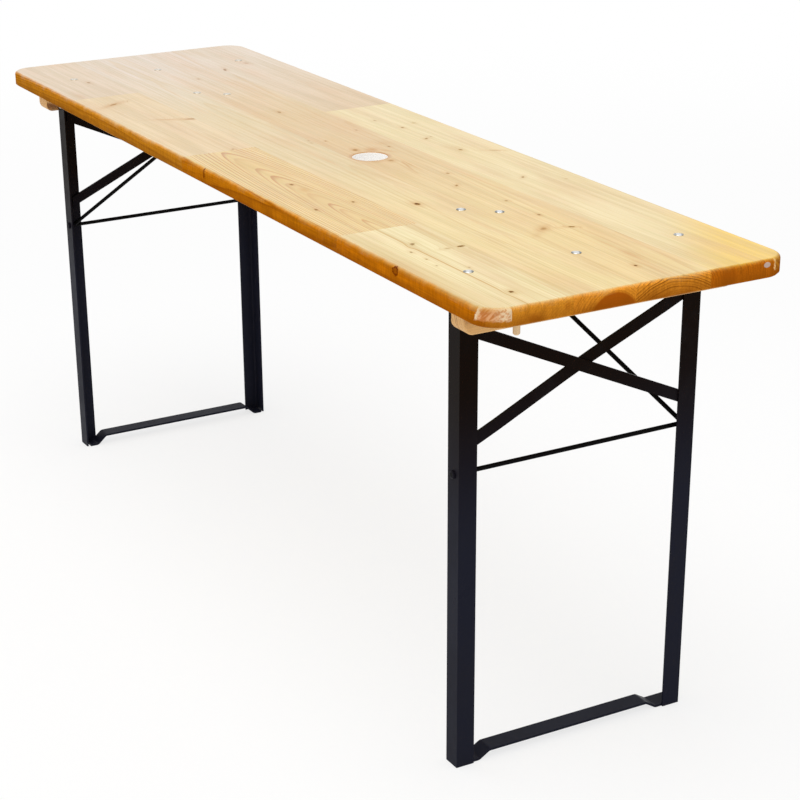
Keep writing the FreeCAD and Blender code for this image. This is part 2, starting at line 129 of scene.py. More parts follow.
class Graph:
    """Adds shader nodes to one node tree and wires them."""

    def __init__(self, tree: bpy.types.NodeTree) -> None:
        """Keeps the tree that the nodes go into.

        Args:
            tree: A material's, a world's or a group's node tree.
        """
        self.tree = tree

    def feed(self, socket: Socket, value: Feed) -> None:
        """Links a socket to another one or sets its value.

        Args:
            socket: The input to fill.
            value: A socket to link from, a number, or a list of numbers.
        """
        if isinstance(value, bpy.types.NodeSocket):
            self.tree.links.new(value, socket)
        elif socket.type == "RGBA" and len(value) == 3:
            socket.default_value = (*value, 1.0)
        else:
            socket.default_value = value

    def add(self, kind: str, inputs: dict[str | int, Feed] | None = None,
            **settings: object) -> bpy.types.Node:
        """Adds one node.

        Args:
            kind: The node's type name.
            inputs: Values and links by input name or number.
            settings: Properties of the node, set before its inputs.

        Returns:
            The new node.
        """
        node = self.tree.nodes.new(kind)
        for name, value in settings.items():
            setattr(node, name, value)
        for key, value in (inputs or {}).items():
            self.feed(node.inputs[key], value)
        return node

    def group(self, tree: bpy.types.NodeTree, inputs: dict[str, Feed]) -> bpy.types.Node:
        """Places a shared node group and feeds its inputs by name."""
        return self.add("ShaderNodeGroup", inputs, node_tree=tree)

    def math(self, operation: str, *values: Feed, clamp: bool = False) -> Socket:
        """A sum of one to three numbers, held from 0 to 1 where clamp is set."""
        node = self.add("ShaderNodeMath", dict(enumerate(values)), operation=operation, use_clamp=clamp)
        return node.outputs[0]

    def minus(self, first: Feed, second: Feed) -> Socket:
        """The first number less the second."""
        return self.math("SUBTRACT", first, second)

    def times(self, first: Feed, second: Feed) -> Socket:
        """The product of two numbers."""
        return self.math("MULTIPLY", first, second)

    def times_plus(self, first: Feed, second: Feed, third: Feed) -> Socket:
        """The product of two numbers with a third one added."""
        return self.math("MULTIPLY_ADD", first, second, third)

    def larger(self, first: Feed, second: Feed) -> Socket:
        """The larger of two numbers."""
        return self.math("MAXIMUM", first, second)

    def squares(self, x: Feed, y: Feed) -> Socket:
        """The squares of two numbers, added up."""
        return self.times_plus(x, x, self.times(y, y))

    def reach(self, x: Feed, y: Feed) -> Socket:
        """The distance of a point in a plane from the origin."""
        return self.math("SQRT", self.squares(x, y))

    def centred(self, noise: Feed) -> Socket:
        """Noise that swings about zero."""
        return self.minus(noise, 0.5)

    def vector(self, operation: str, *values: Feed) -> Socket:
        """A sum of vectors, with a vector result."""
        node = self.add("ShaderNodeVectorMath", dict(enumerate(values)), operation=operation)
        return node.outputs["Vector"]

    def split(self, vector: Feed) -> list[Socket]:
        """The three parts of a vector."""
        return list(self.add("ShaderNodeSeparateXYZ", {0: vector}).outputs)

    def join(self, x: Feed, y: Feed, z: Feed) -> Socket:
        """A vector from its three parts."""
        return self.add("ShaderNodeCombineXYZ", {0: x, 1: y, 2: z}).outputs[0]

    def noise(self, place: Feed, scale: Feed | Triple, octaves: float = 2.0) -> Socket:
        """Soft noise from 0 to 1.

        Args:
            place: Where it is read.
            scale: Lumps per metre, alike every way or along each axis.
            octaves: How many finer layers it has.

        Returns:
            The noise's socket.
        """
        if isinstance(scale, tuple):
            place, scale = self.vector("MULTIPLY", place, scale), 1.0
        return self.add("ShaderNodeTexNoise", {"Vector": place, "Scale": scale, "Detail": octaves}).outputs[0]

    def line_noise(self, place: Feed, rate: float, octaves: float) -> Socket:
        """Soft noise from 0 to 1 along a line."""
        inputs = {"W": place, "Scale": rate, "Detail": octaves}
        return self.add("ShaderNodeTexNoise", inputs, noise_dimensions="1D").outputs[0]

    def smooth(self, value: Feed, step: Step) -> Socket:
        """The result of a smooth change at a value."""
        inputs = dict(enumerate((value, step.low, step.high, step.before, step.after)))
        return self.add("ShaderNodeMapRange", inputs, interpolation_type="SMOOTHSTEP").outputs[0]

    def mix(self, share: Feed, first: Feed, second: Feed, blend: str = "MIX") -> Socket:
        """A colour with a share of a second one in it."""
        inputs = {0: share, 6: first, 7: second}
        return self.add("ShaderNodeMix", inputs, data_type="RGBA", blend_type=blend).outputs[2]

    def scaled(self, colour: Feed, share: Feed, blue_share: Feed | None = None) -> Socket:
        """A colour times a share, which may be another one for its blue."""
        shares = self.join(share, share, share if blue_share is None else blue_share)
        return self.mix(1.0, colour, shares, "MULTIPLY")

    def place(self) -> Socket:
        """The surface's place in the table's frame."""
        return self.add("ShaderNodeTexCoord").outputs["Object"]

    def bump(self, height: Feed, strength: float, distance: float) -> Socket:
        """A normal that is bumped by a height from 0 to 1, over a distance in metres."""
        inputs = {"Strength": strength, "Distance": distance, "Height": height}
        return self.add("ShaderNodeBump", inputs).outputs[0]


def make_group(name: str, inputs: dict[str, SocketKind], outputs: dict[str, SocketKind],
               fill: Callable[[Graph, dict[str, Socket]], dict[str, Socket]]) -> bpy.types.NodeTree:
    """Builds a shared shader node group.

    Args:
        name: The group's name.
        inputs: Its inputs by name.
        outputs: Its outputs by name.
        fill: Adds the nodes and gives the sockets of the outputs.

    Returns:
        The group.
    """
    tree = bpy.data.node_groups.new(name, "ShaderNodeTree")
    for label, kind in inputs.items():
        tree.interface.new_socket(label, in_out="INPUT", socket_type=kind.value)
    for label, kind in outputs.items():
        tree.interface.new_socket(label, in_out="OUTPUT", socket_type=kind.value)
    graph = Graph(tree)
    entry = graph.add("NodeGroupInput")
    results = fill(graph, {label: entry.outputs[label] for label in inputs})
    graph.add("NodeGroupOutput", results)
    return tree


class SharedEffects:
    """Node groups that several finishes use.

    Scales are lumps per metre along, across and up the grain.
    """

    # Growth rings.
    slow_drift: Triple = (2.4, 16.0, 16.0)
    quick_drift: Triple = (14.0, 150.0, 150.0)
    quick_share: float = 0.07
    uneven_rate: float = 0.37
    uneven_share: float = 1.6
    late_rise: Step = Step(0.42, 0.92)
    late_end: Step = Step(0.92, 1.0, 1.0, 0.0)
    year_rate: float = 5.37
    year_depth: Step = Step(0.3, 0.7, 0.3, 1.0)
    fibre_scale: Triple = (18.0, 620.0, 620.0)
    band_along: float = 1.3
    band_rate: float = 34.0

    # Knots.
    knot_ragged: float = 0.8
    knot_edge: Step = Step(0.3, 1.05, 1.0, 0.0)
    halo_along: float = 0.42
    halo_across: float = 0.3

    # Smudges.
    wide_smudge: float = 9.0
    wide_share: float = 0.7
    small_smudge: float = 70.0
    small_share: float = 0.3

    def __init__(self) -> None:
        """Builds every group once."""
        number, vector = SocketKind.NUMBER, SocketKind.VECTOR
        self.rings = make_group(
            "growth_rings",
            {"Place": vector, "Pith": vector, "Lean": vector, "Spacing": number, "Wobble": number},
            {"Late": number, "Fibre": number, "Band": number},
            self._rings,
        )
        self.knot = make_group(
            "knot",
            {"Place": vector, "Centre": vector, "Reach": vector, "Turn": number, "Depth": number,
             "Stain": number, "Push": number, "Rough": number, "Core": number, "Halo": number},
            {"Place": vector, "Core": number, "Halo": number},
            self._knot,
        )
        self.rim = make_group(
            "distance_to_rim",
            {"Place": vector, "Half": vector, "Corner": number},
            {"Distance": number},
            self._rim,
        )
        self.skin = make_group(
            "surface_skin",
            {"Place": vector, "Grit": number},
            {"Height": number, "Smudge": number},
            self._skin,
        )

    def _rings(self, graph: Graph, entry: dict[str, Socket]) -> dict[str, Socket]:
        """Growth rings of a tree round a pith that leans along the board.

        Args:
            graph: The group's graph.
            entry: The group's inputs.

        Returns:
            Late wood, fibre and wide bands.
        """
        along, across, up = graph.split(entry["Place"])
        pith = graph.split(entry["Pith"])
        lean = graph.split(entry["Lean"])
        side = graph.minus(across, graph.times_plus(along, lean[1], pith[1]))
        rise = graph.minus(up, graph.times_plus(along, lean[2], pith[2]))
        slow = graph.noise(entry["Place"], self.slow_drift)
        quick = graph.noise(entry["Place"], self.quick_drift)
        drift = graph.times_plus(graph.centred(quick), self.quick_share, graph.centred(slow))
        radius = graph.times_plus(drift, entry["Wobble"], graph.reach(rise, side))
        count = graph.math("DIVIDE", radius, entry["Spacing"])
        uneven = graph.line_noise(count, self.uneven_rate, octaves=1.0)
        count = graph.times_plus(uneven, self.uneven_share, count)
        share = graph.math("FRACT", count)
        ring = graph.times(graph.smooth(share, self.late_rise), graph.smooth(share, self.late_end))
        year = graph.line_noise(graph.math("FLOOR", count), self.year_rate, octaves=0.0)
        late = graph.times(ring, graph.smooth(year, self.year_depth))
        fibre = graph.noise(entry["Place"], self.fibre_scale, octaves=3.0)
        banded = graph.join(graph.times(along, self.band_along), graph.times(radius, self.band_rate), 0.0)
        return {"Late": late, "Fibre": fibre, "Band": graph.noise(banded, 1.0)}

    def _knot(self, graph: Graph, entry: dict[str, Socket]) -> dict[str, Socket]:
        """One knot that turns the grain aside and darkens its own wood.

        Args:
            graph: The group's graph.
            entry: The group's inputs.

        Returns:
            The place after the grain has been turned aside, and the darkest core and halo so far.
        """
        offset = graph.vector("SUBTRACT", entry["Place"], entry["Centre"])
        inputs = {"Vector": offset, "Angle": entry["Turn"]}
        turned = graph.add("ShaderNodeVectorRotate", inputs, rotation_type="Z_AXIS").outputs[0]
        x, y, _ = graph.split(graph.vector("DIVIDE", turned, entry["Reach"]))
        ragged = graph.times_plus(graph.centred(entry["Rough"]), self.knot_ragged, graph.reach(x, y))
        core = graph.times(graph.smooth(ragged, self.knot_edge), entry["Depth"])
        long_x = graph.times(x, self.halo_along)
        far = graph.times_plus(long_x, long_x, graph.times(y, graph.times(y, self.halo_across)))
        pull = graph.math("EXPONENT", graph.times(far, -1.0))
        moved = graph.vector("MULTIPLY", offset, graph.join(0.0, graph.times(pull, entry["Push"]), 0.0))
        return {
            "Place": graph.vector("ADD", entry["Place"], moved),
            "Core": graph.larger(core, entry["Core"]),
            "Halo": graph.larger(graph.times(pull, entry["Stain"]), entry["Halo"]),
        }

    def _rim(self, graph: Graph, entry: dict[str, Socket]) -> dict[str, Socket]:
        """Signed distance in plan from the rim of a top with round corners.

        Args:
            graph: The group's graph.
            entry: The group's inputs.

        Returns:
            The distance, below zero inside the rim.
        """
        inner = graph.vector("SUBTRACT", entry["Half"], graph.join(entry["Corner"], entry["Corner"], 0.0))
        x, y, _ = graph.split(graph.vector("SUBTRACT", graph.vector("ABSOLUTE", entry["Place"]), inner))
        outside = graph.reach(graph.larger(x, 0.0), graph.larger(y, 0.0))
        within = graph.math("MINIMUM", graph.larger(x, y), 0.0)
        return {"Distance": graph.minus(graph.math("ADD", outside, within), entry["Corner"])}

    def _skin(self, graph: Graph, entry: dict[str, Socket]) -> dict[str, Socket]:
        """Fine unevenness of a coat and the smudges on it.

        Args:
            graph: The group's graph.
            entry: The group's inputs.

        Returns:
            Height and smudge, from 0 to 1.
        """
        wide = graph.noise(entry["Place"], self.wide_smudge, octaves=3.0)
        small = graph.times(graph.noise(entry["Place"], self.small_smudge), self.small_share)
        return {
            "Height": graph.noise(entry["Place"], entry["Grit"]),
            "Smudge": graph.times_plus(wide, self.wide_share, small),
        }


class Surface(Graph):
    """The graph of one material, with its shader, the shared effects and the place on the surface."""

    def __init__(self, name: str, effects: SharedEffects) -> None:
        """Makes a material with one surface shader.

        Args:
            name: The material's name.
            effects: The shared node groups.
        """
        self.material = bpy.data.materials.new(name)
        self.material.use_nodes = True
        self.material.node_tree.nodes.clear()
        super().__init__(self.material.node_tree)
        self.effects = effects
        self.shader = self.add("ShaderNodeBsdfPrincipled")
        self.add("ShaderNodeOutputMaterial", {"Surface": self.shader.outputs[0]})
        self.here = self.place()
        self.along, self.across, self.up = self.split(self.here)

    def rings(self, grain: Socket, pith: Pair, lean: Pair, spacing: float, wobble: float) -> bpy.types.Node:
        """Growth rings on the surface, with lengths in millimetres.

        Args:
            grain: The place that the grain reads, its first part along the fibres.
            pith: The tree's middle in the other two ways.
            lean: How far the pith moves in those ways for each metre along.
            spacing: From ring to ring.
            wobble: How far the rings stray.

        Returns:
            The growth rings' node.
        """
        return self.group(self.effects.rings, {
            "Place": grain,
            "Pith": (0.0, pith[0] * MM, pith[1] * MM),
            "Lean": (0.0, *lean),
            "Spacing": spacing * MM,
            "Wobble": wobble * MM,
        })

    def skin(self, grit: float) -> tuple[Socket, Socket]:
        """Height and smudges of the coat, from 0 to 1."""
        node = self.group(self.effects.skin, {"Place": self.here, "Grit": grit})
        return node.outputs["Height"], node.outputs["Smudge"]

    def shade(self, inputs: dict[str, Feed]) -> bpy.types.Material:
        """Feeds the shader.

        Args:
            inputs: Values and links by input name.

        Returns:
            The finished material.
        """
        for label, value in inputs.items():
            self.feed(self.shader.inputs[label], value)
        return self.material


@dataclass(frozen=True)
class Knot:
    """A knot or a stain: its place along and across the table and its half sizes, in millimetres.

    Depth is how dark its core is, and a stain has none. The turn is in degrees. The stain's strength is
    the depth's where it isn't given.
    """

    along: float
    across: float
    half_length: float
    half_width: float
    depth: float
    turn: float = 0.0
    stain: float | None = None
    push: ClassVar[float] = -0.78

    def add(self, surface: Surface, place: Socket, rough: Socket, core: Feed = 0.0,
            halo: Feed = 0.0) -> bpy.types.Node:
        """Places the knot's group.

        Args:
            surface: The board's material.
            place: The place that the knot is measured from.
            rough: How ragged its core's edge is.
            core: The knots' cores so far.
            halo: The knots' halos so far.

        Returns:
            The group's node.
        """
        return surface.group(surface.effects.knot, {
            "Place": place,
            "Centre": (self.along * MM, self.across * MM, 0.0),
            "Reach": (self.half_length * MM, self.half_width * MM, 1.0),
            "Turn": math.radians(self.turn),
            "Depth": self.depth,
            "Stain": self.depth if self.stain is None else self.stain,
            "Push": self.push if self.depth else 0.0,
            "Rough": rough,
            "Core": core,
            "Halo": halo,
        })


def stain(along: float, across: float, half_length: float, half_width: float, strength: float,
          turn: float = 0.0) -> Knot:
    """A stain in the wood, which is a knot without a core."""
    return Knot(along, across, half_length, half_width, 0.0, turn, strength)


@dataclass(frozen=True)
class Heart:
    """Darker heartwood that shows on the cut ends.

    Its middle, across and up, and its lengths are in millimetres. It fades over a soft width inside its edge
    and a little past it.
    """

    across: float
    up: float
    radius: float
    depth: float
    soft: float
    past: ClassVar[float] = 1.0

    def share(self, surface: Surface) -> Socket:
        """How much of the heartwood shows.

        Args:
            surface: The board's material.

        Returns:
            The share's socket.
        """
        side = surface.minus(surface.across, self.across * MM)
        rise = surface.minus(surface.up, self.up * MM)
        edge = Step((self.radius - self.soft) * MM, (self.radius + self.past) * MM, self.depth, 0.0)
        return surface.smooth(surface.reach(side, rise), edge)


@dataclass(frozen=True)
class PineFinish:
    """Lacquered pine of one board, with lengths in millimetres.

    The pith is the tree's middle, across the table and up from the floor. The lean is how far it moves across
    and up for each metre along the board. End rings give the pith and the spacing that the cut ends show,
    where they differ. Rim knots give their height in place of the across. The warm corner gives how far the
    near rear corner's yellow reaches along and across, and the plug is a disc on the near end, across and up.

    On the sawn round corners the reach is half of the sawn part in degrees, paling is how pale its end side
    is, flare is how far its borders spread in radians for each metre down, and the painted shade is how dark
    the painted shade makes its long side. Steps along a length are in metres.
    """

    early: Colour
    late: Colour
    pith: Pair
    lean: Pair
    spacing: float
    wobble: float = 14.0
    late_share: float = 0.4
    mid_early: Colour | None = None
    far_early: Colour | None = None
    knots: tuple[Knot, ...] = ()
    rim_knots: tuple[Knot, ...] = ()
    hearts: tuple[Heart, ...] = ()
    end_rings: Triple | None = None
    warm_corner: Pair | None = None
    plug: Pair | None = None
    knot_halo: Colour = (0.50, 0.20, 0.015)
    # The rim's deeper amber is partly painted shade, for edges that face away from the overhead light.
    rim_early: Colour = (0.65, 0.25, 0.013)
    rim_late: Colour = (0.29, 0.075, 0.003)
    # Colour of the painted shade on the rim's lower part and on the round corners' long side.
    painted_rim_shade: Colour = (0.27, 0.070, 0.003)
    end_early: Colour = (0.94, 0.345, 0.028)
    end_lines: float = 0.45
    heart_colour: Colour = (0.40, 0.095, 0.004)
    corner_wood: Colour = (0.80, 0.40, 0.18)
    corner_streak: Colour = (0.58, 0.20, 0.05)
    corner_pale: Colour = (0.92, 0.72, 0.46)
    corner_reach: float = 31.5
    corner_paling: float = 0.8
    corner_flare: float = 8.7
    corner_painted_shade: float = 0.0

    # Colours that every board shares.
    flush: Colour = (0.66, 0.36, 0.14)
    knot_core: Colour = (0.15, 0.055, 0.012)
    rim_knot: Colour = (0.15, 0.022, 0.001)
    shade: Colour = (0.46, 0.18, 0.012)
    warm: Colour = (0.85, 0.545, 0.035)
    # The hole's wall: pale bare wood, painted near white as painted light for the strong light that it
    # catches.
    bare: Colour = (1.0, 0.98, 0.95)
    plug_colour: Colour = (0.62, 0.53, 0.48)

    # Knots on the face and on the front edge.
    halo_share: float = 0.5
    halo_fade: Step = Step(PEAK - 10 * MM, PEAK - 4 * MM)
    ragged_scale: float = 320.0
    rim_knot_fade: Step = Step(CAD_BOX[0].y + 2.5 * MM, CAD_BOX[0].y + 6 * MM, 1.0, 0.0)
    rim_knot_ring: Pair = (0.05, 0.4)
    rim_knot_middle: Step = Step(0.6, 0.9, 1.0, 0.6)

    # The face, along the board and across its grain.
    mid_fade: Step = Step(-0.1, 0.6, 1.0, 0.0)
    far_fade: Step = Step(-0.85, -0.2, 1.0, 0.0)
    warm_fade: Step = Step(0.6, 1.45, 0.97, 0.0)
    flush_scale: Triple = (5.0, 24.0, 24.0)
    flush_fade: Step = Step(0.45, 0.75, 0.0, 0.35)
    face_band: Step = Step(0.35, 0.75, 0.0, 0.3)
    streak_scale: Triple = (4.0, 130.0, 130.0)
    streak_depth: Step = Step(0.3, 0.7, 0.83, 0.98)
    fibre_share: float = 0.18

    # The rim and the cut ends.
    end_fade: Step = Step(CAD_BOX[1].x - 20 * MM, CAD_BOX[1].x - 10 * MM)
    edge_lines: float = 0.7
    dash_depth: Step = Step(0.3, 0.7, 0.80, 1.10)
    hatch_scale: Triple = (240.0, 240.0, 45.0)
    hatch_depth: Step = Step(0.3, 0.7, 0.86, 1.12)
    rim_band: Step = Step(0.45, 0.75, 0.0, 0.35)
    cloud_scale: float = 26.0
    cloud_depth: Step = Step(0.3, 0.7, 0.5, 0.85)
    rim_shade_fade: Step = Step(PEAK - 29 * MM, PEAK - 6 * MM, 1.0, 0.0)
    plug_half: Triple = (6 * MM, 4 * MM, 1.0)
    plug_edge: Step = Step(0.7, 1.1, 0.85, 0.0)

    # The sawn round corners.
    corner_radius: float = 40 * MM
    corner_middle: float = math.radians(55.0)
    corner_top: float = PEAK - 3 * MM
    corner_foot: Step = Step(PEAK - 18 * MM, PEAK - 14 * MM)
    corner_wave: float = 8 * MM
    sawn_fade: Step = Step(0.0, MM)
    sawn_across: float = 200.0
    sawn_along: float = 42.0
    sawn_streak: Step = Step(0.40, 0.58)
    fleck_scale: float = 330.0
    fleck_depth: Step = Step(0.42, 0.58, 0.3, 1.0)
    fleck_shake: float = 0.22
    paling_way: Pair = (math.radians(46.0), math.radians(76.0))
    # Angles over which the painted shade fades off the corner's long side.
    painted_dark_way: Pair = (math.radians(35.0), math.radians(66.0))
    border_reach: Pair = (0.72, 0.95)
    border_share: float = 0.8
    border_end: float = 1.1

    # Limits of the rim, of the hole's wall and shade, and of the glue line.
    waver_scale: Triple = (42.0, 42.0, 20.0)
    waver_reach: float = 5 * MM
    rim_fade: Step = Step(-7.5 * MM, 0.8 * MM)
    upright_top: Step = Step(PEAK - 10.5 * MM, PEAK - 7 * MM, 1.0, 0.0)
    upright_fade: Step = Step(-7 * MM, -1 * MM)
    wall_edge: Pair = (0.2 * MM, 0.6 * MM)
    shade_reach: Pair = (1.5 * MM, 10 * MM)
    shade_scale: float = 30.0
    shade_depth: Step = Step(0.35, 0.65, 0.4, 0.75)
    seam_line: Step = Step(0.1 * MM, 0.7 * MM, 0.14, 0.0)

    # The lacquer.
    grit: float = 45.0
    rough_base: float = 0.28
    rough_range: float = 0.25
    coat_rough: float = 0.13
    coat_index: float = 1.5
    coat_depth: Step = Step(0.3, 0.7, 1.0, 0.86)
    rim_dull: float = 0.97
    halo_dull: float = 0.2
    late_height: float = 0.35
    bump_share: float = 0.2
    bump_height: float = 0.4 * MM

    def make(self, name: str, effects: SharedEffects, hole: Vector, hole_radius: float) -> bpy.types.Material:
        """Builds the material.

        Args:
            name: The board's node name.
            effects: The shared node groups.
            hole: A point on the umbrella hole's axis.
            hole_radius: The hole's radius in metres.

        Returns:
            The material.
        """
        surface = Surface("pine_" + name, effects)
        grain, core, halo = self._knotted(surface)
        rings = surface.rings(grain, self.pith, self.lean, self.spacing, self.wobble)
        end_rings = rings
        if self.end_rings:
            end_rings = surface.rings(grain, self.end_rings[:2], (0.0, 0.0), self.end_rings[2], self.wobble)
        rim = self._rim_share(surface)
        colour = surface.mix(rim, self._face(surface, rings), self._rim(surface, end_rings))
        colour = surface.mix(surface.times(halo, self.halo_share), colour, self.knot_halo)
        colour = surface.mix(core, colour, self.knot_core)
        colour = self._with_rim_knots(surface, colour)
        bare, shaded = self._bore_shares(surface, hole, hole_radius)
        colour = surface.mix(shaded, colour, self.shade)
        # Painted light: the hole's wall is painted near white.
        colour = surface.mix(bare, colour, self.bare)
        colour = surface.mix(self._seam_share(surface, name), colour, self.rim_late)
        height, smudge = surface.skin(self.grit)
        gloss = surface.smooth(smudge, self.coat_depth)
        dull = surface.larger(surface.times(rim, self.rim_dull), bare)
        dull = surface.larger(dull, surface.times_plus(halo, self.halo_dull, core))
        height = surface.times_plus(rings.outputs["Late"], self.late_height, height)
        return surface.shade({
            "Base Color": colour,
            "Roughness": surface.times_plus(smudge, self.rough_range, self.rough_base),
            "Specular IOR Level": 0.0,
            "Coat Roughness": self.coat_rough,
            "Coat IOR": self.coat_index,
            "Coat Weight": surface.math("SUBTRACT", gloss, dull, clamp=True),
            "Normal": surface.bump(height, self.bump_share, self.bump_height),
        })

    def _knotted(self, surface: Surface) -> tuple[Socket, Feed, Feed]:
        """Runs the grain round every knot.

        Args:
            surface: The board's material.

        Returns:
            The place that the grain reads, and the knots' cores and halos.
        """
        grain, core, halo = surface.here, 0.0, 0.0
        rough = surface.noise(surface.here, self.ragged_scale)
        for knot in self.knots:
            node = knot.add(surface, grain, rough, core, halo)
            grain, core, halo = (node.outputs[label] for label in ("Place", "Core", "Halo"))
        return grain, core, surface.times(halo, surface.smooth(surface.up, self.halo_fade))

    def _with_rim_knots(self, surface: Surface, colour: Socket) -> Socket:
        """Knots on the front edge, each a dark ring round a paler middle.

        Args:
            surface: The board's material.
            colour: The board's colour elsewhere.

        Returns:
            The colour's socket.
        """
        for knot in self.rim_knots:
            rough = surface.noise(surface.here, self.ragged_scale)
            on_edge = surface.join(surface.along, surface.up, surface.across)
            core = knot.add(surface, on_edge, rough).outputs["Core"]
            ring = surface.smooth(core, Step(*self.rim_knot_ring, 0.0, knot.depth))
            ring = surface.times(ring, surface.smooth(core, self.rim_knot_middle))
            share = surface.times(ring, surface.smooth(surface.across, self.rim_knot_fade))
            colour = surface.mix(share, colour, self.rim_knot)
        return colour

    def _face(self, surface: Surface, rings: bpy.types.Node) -> Socket:
        """Colour of the flat face.

        Args:
            surface: The board's material.
            rings: The growth rings' node.

        Returns:
            The colour's socket.
        """
        early: Feed = self.early
        if self.mid_early and self.far_early:
            early = surface.mix(surface.smooth(surface.along, self.mid_fade), early, self.mid_early)
            early = surface.mix(surface.smooth(surface.along, self.far_fade), early, self.far_early)
        if self.warm_corner:
            inward = surface.vector("SUBTRACT", CAD_BOX[1], surface.here)
            reach = (self.warm_corner[0] * MM, self.warm_corner[1] * MM, 1.0)
            x, y, _ = surface.split(surface.vector("DIVIDE", inward, reach))
            early = surface.mix(surface.smooth(surface.math("ADD", x, y), self.warm_fade), early, self.warm)
        patch = surface.noise(surface.here, self.flush_scale, octaves=3.0)
        early = surface.mix(surface.smooth(patch, self.flush_fade), early, self.flush)
        colour = surface.mix(surface.times(rings.outputs["Late"], self.late_share), early, self.late)
        colour = surface.mix(surface.smooth(rings.outputs["Band"], self.face_band), colour, self.late)
        wide = surface.noise(surface.here, self.streak_scale, octaves=3.0)
        wide = surface.smooth(wide, self.streak_depth)
        streak = surface.times_plus(rings.outputs["Fibre"], self.fibre_share, wide)
        return surface.scaled(colour, streak, surface.times(streak, streak))

    def _rim(self, surface: Surface, rings: bpy.types.Node) -> Socket:
        """Colour of the rim, deeper amber than the face: partly the lacquer's own colour, partly painted shade
        on edges that face away from the overhead light.

        Args:
            surface: The board's material.
            rings: The growth rings' node.

        Returns:
            The colour's socket.
        """
        at_end = surface.smooth(surface.math("ABSOLUTE", surface.along), self.end_fade)
        early = surface.mix(at_end, self.rim_early, self.end_early)
        lines = surface.smooth(at_end, Step(0.0, 1.0, self.edge_lines, self.end_lines))
        colour = surface.mix(surface.times(rings.outputs["Late"], lines), early, self.rim_late)
        dash = surface.smooth(rings.outputs["Fibre"], self.dash_depth)
        hatch = surface.smooth(surface.noise(surface.here, self.hatch_scale), self.hatch_depth)
        colour = surface.scaled(colour, surface.times(dash, hatch))
        colour = surface.mix(surface.smooth(rings.outputs["Band"], self.rim_band), colour, self.rim_late)
        for heart in self.hearts:
            colour = surface.mix(heart.share(surface), colour, self.heart_colour)
        # Painted shade: the rim darkens in patches toward its lower edge.
        cloud = surface.smooth(surface.noise(surface.here, self.cloud_scale), self.cloud_depth)
        low = surface.times(surface.smooth(surface.up, self.rim_shade_fade), cloud)
        colour = surface.mix(low, colour, self.painted_rim_shade)
        if self.plug:
            spot = surface.join(surface.across, surface.up, 0.0)
            offset = surface.vector("SUBTRACT", spot, (self.plug[0] * MM, self.plug[1] * MM, 0.0))
            x, y, _ = surface.split(surface.vector("DIVIDE", offset, self.plug_half))
            share = surface.smooth(surface.squares(x, y), self.plug_edge)
            colour = surface.mix(share, colour, self.plug_colour)
        return self._round_corner(surface, colour)

    def _round_corner(self, surface: Surface, colour: Socket) -> Socket:
        """The sawn round corners, streaked, with a pale border at each end.

        Args:
            surface: The board's material.
            colour: The rim's colour elsewhere.

        Returns:
            The colour's socket.
        """
        x, y, z = surface.split(surface.vector("ABSOLUTE", surface.here))
        past_x = surface.minus(x, CAD_BOX[1].x - self.corner_radius)
        past_y = surface.minus(y, CAD_BOX[1].y - self.corner_radius)
        angle = surface.math("ARCTAN2", past_x, past_y)
        arc = surface.times(angle, self.corner_radius)
        across = surface.times(surface.minus(arc, z), self.sawn_across)
        along = surface.times(surface.math("ADD", arc, z), self.sawn_along)
        streaks = surface.noise(surface.join(across, along, 0.0), 1.0, octaves=3.0)
        flecks = surface.noise(surface.here, self.fleck_scale)
        wood = surface.mix(surface.smooth(streaks, self.sawn_streak), self.corner_wood, self.corner_streak)
        # The corner turns paler, in flecks, toward its end side.
        paling = surface.smooth(angle, Step(*self.paling_way, 0.0, self.corner_paling))
        paling = surface.times(paling, surface.smooth(flecks, self.fleck_depth))
        wood = surface.mix(paling, wood, self.corner_pale)
        below = surface.minus(self.corner_top, z)
        aside = surface.math("ABSOLUTE", surface.minus(angle, self.corner_middle))
        aside = surface.times_plus(below, -self.corner_flare, aside)
        aside = surface.times_plus(surface.centred(flecks), self.fleck_shake, aside)
        limit = math.radians(self.corner_reach)
        start, end = (limit * share for share in self.border_reach)
        border = surface.smooth(aside, Step(start, end, 0.0, self.border_share))
        wood = surface.mix(border, wood, self.corner_pale)
        inside = surface.smooth(aside, Step(limit, limit * self.border_end, 1.0, 0.0))
        wavy = surface.times_plus(streaks, self.corner_wave, z)
        inside = surface.times(inside, surface.smooth(wavy, self.corner_foot))
        beyond = surface.times(surface.smooth(past_x, self.sawn_fade), surface.smooth(past_y, self.sawn_fade))
        colour = surface.mix(surface.times(inside, beyond), colour, wood)
        # Painted shade darkens the corner toward its long side.
        dark = surface.smooth(angle, Step(*self.painted_dark_way, self.corner_painted_shade, 0.0))
        return surface.mix(surface.times(dark, beyond), colour, self.painted_rim_shade)

    def _rim_share(self, surface: Surface) -> Socket:
        """How much of the rim's colour shows: all of it on the upright faces, with a wavering upper limit.

        Args:
            surface: The board's material.

        Returns:
            The share's socket.
        """
        half = (CAD_BOX[1].x, CAD_BOX[1].y, 0.0)
        inputs = {"Place": surface.here, "Half": half, "Corner": self.corner_radius}
        distance = surface.group(surface.effects.rim, inputs).outputs["Distance"]
        waver = surface.noise(surface.here, self.waver_scale, octaves=3.0)
        shifted = surface.times_plus(surface.centred(waver), self.waver_reach, distance)
        upright = surface.smooth(surface.up, self.upright_top)
        upright = surface.times(upright, surface.smooth(distance, self.upright_fade))
        return surface.larger(surface.smooth(shifted, self.rim_fade), upright)

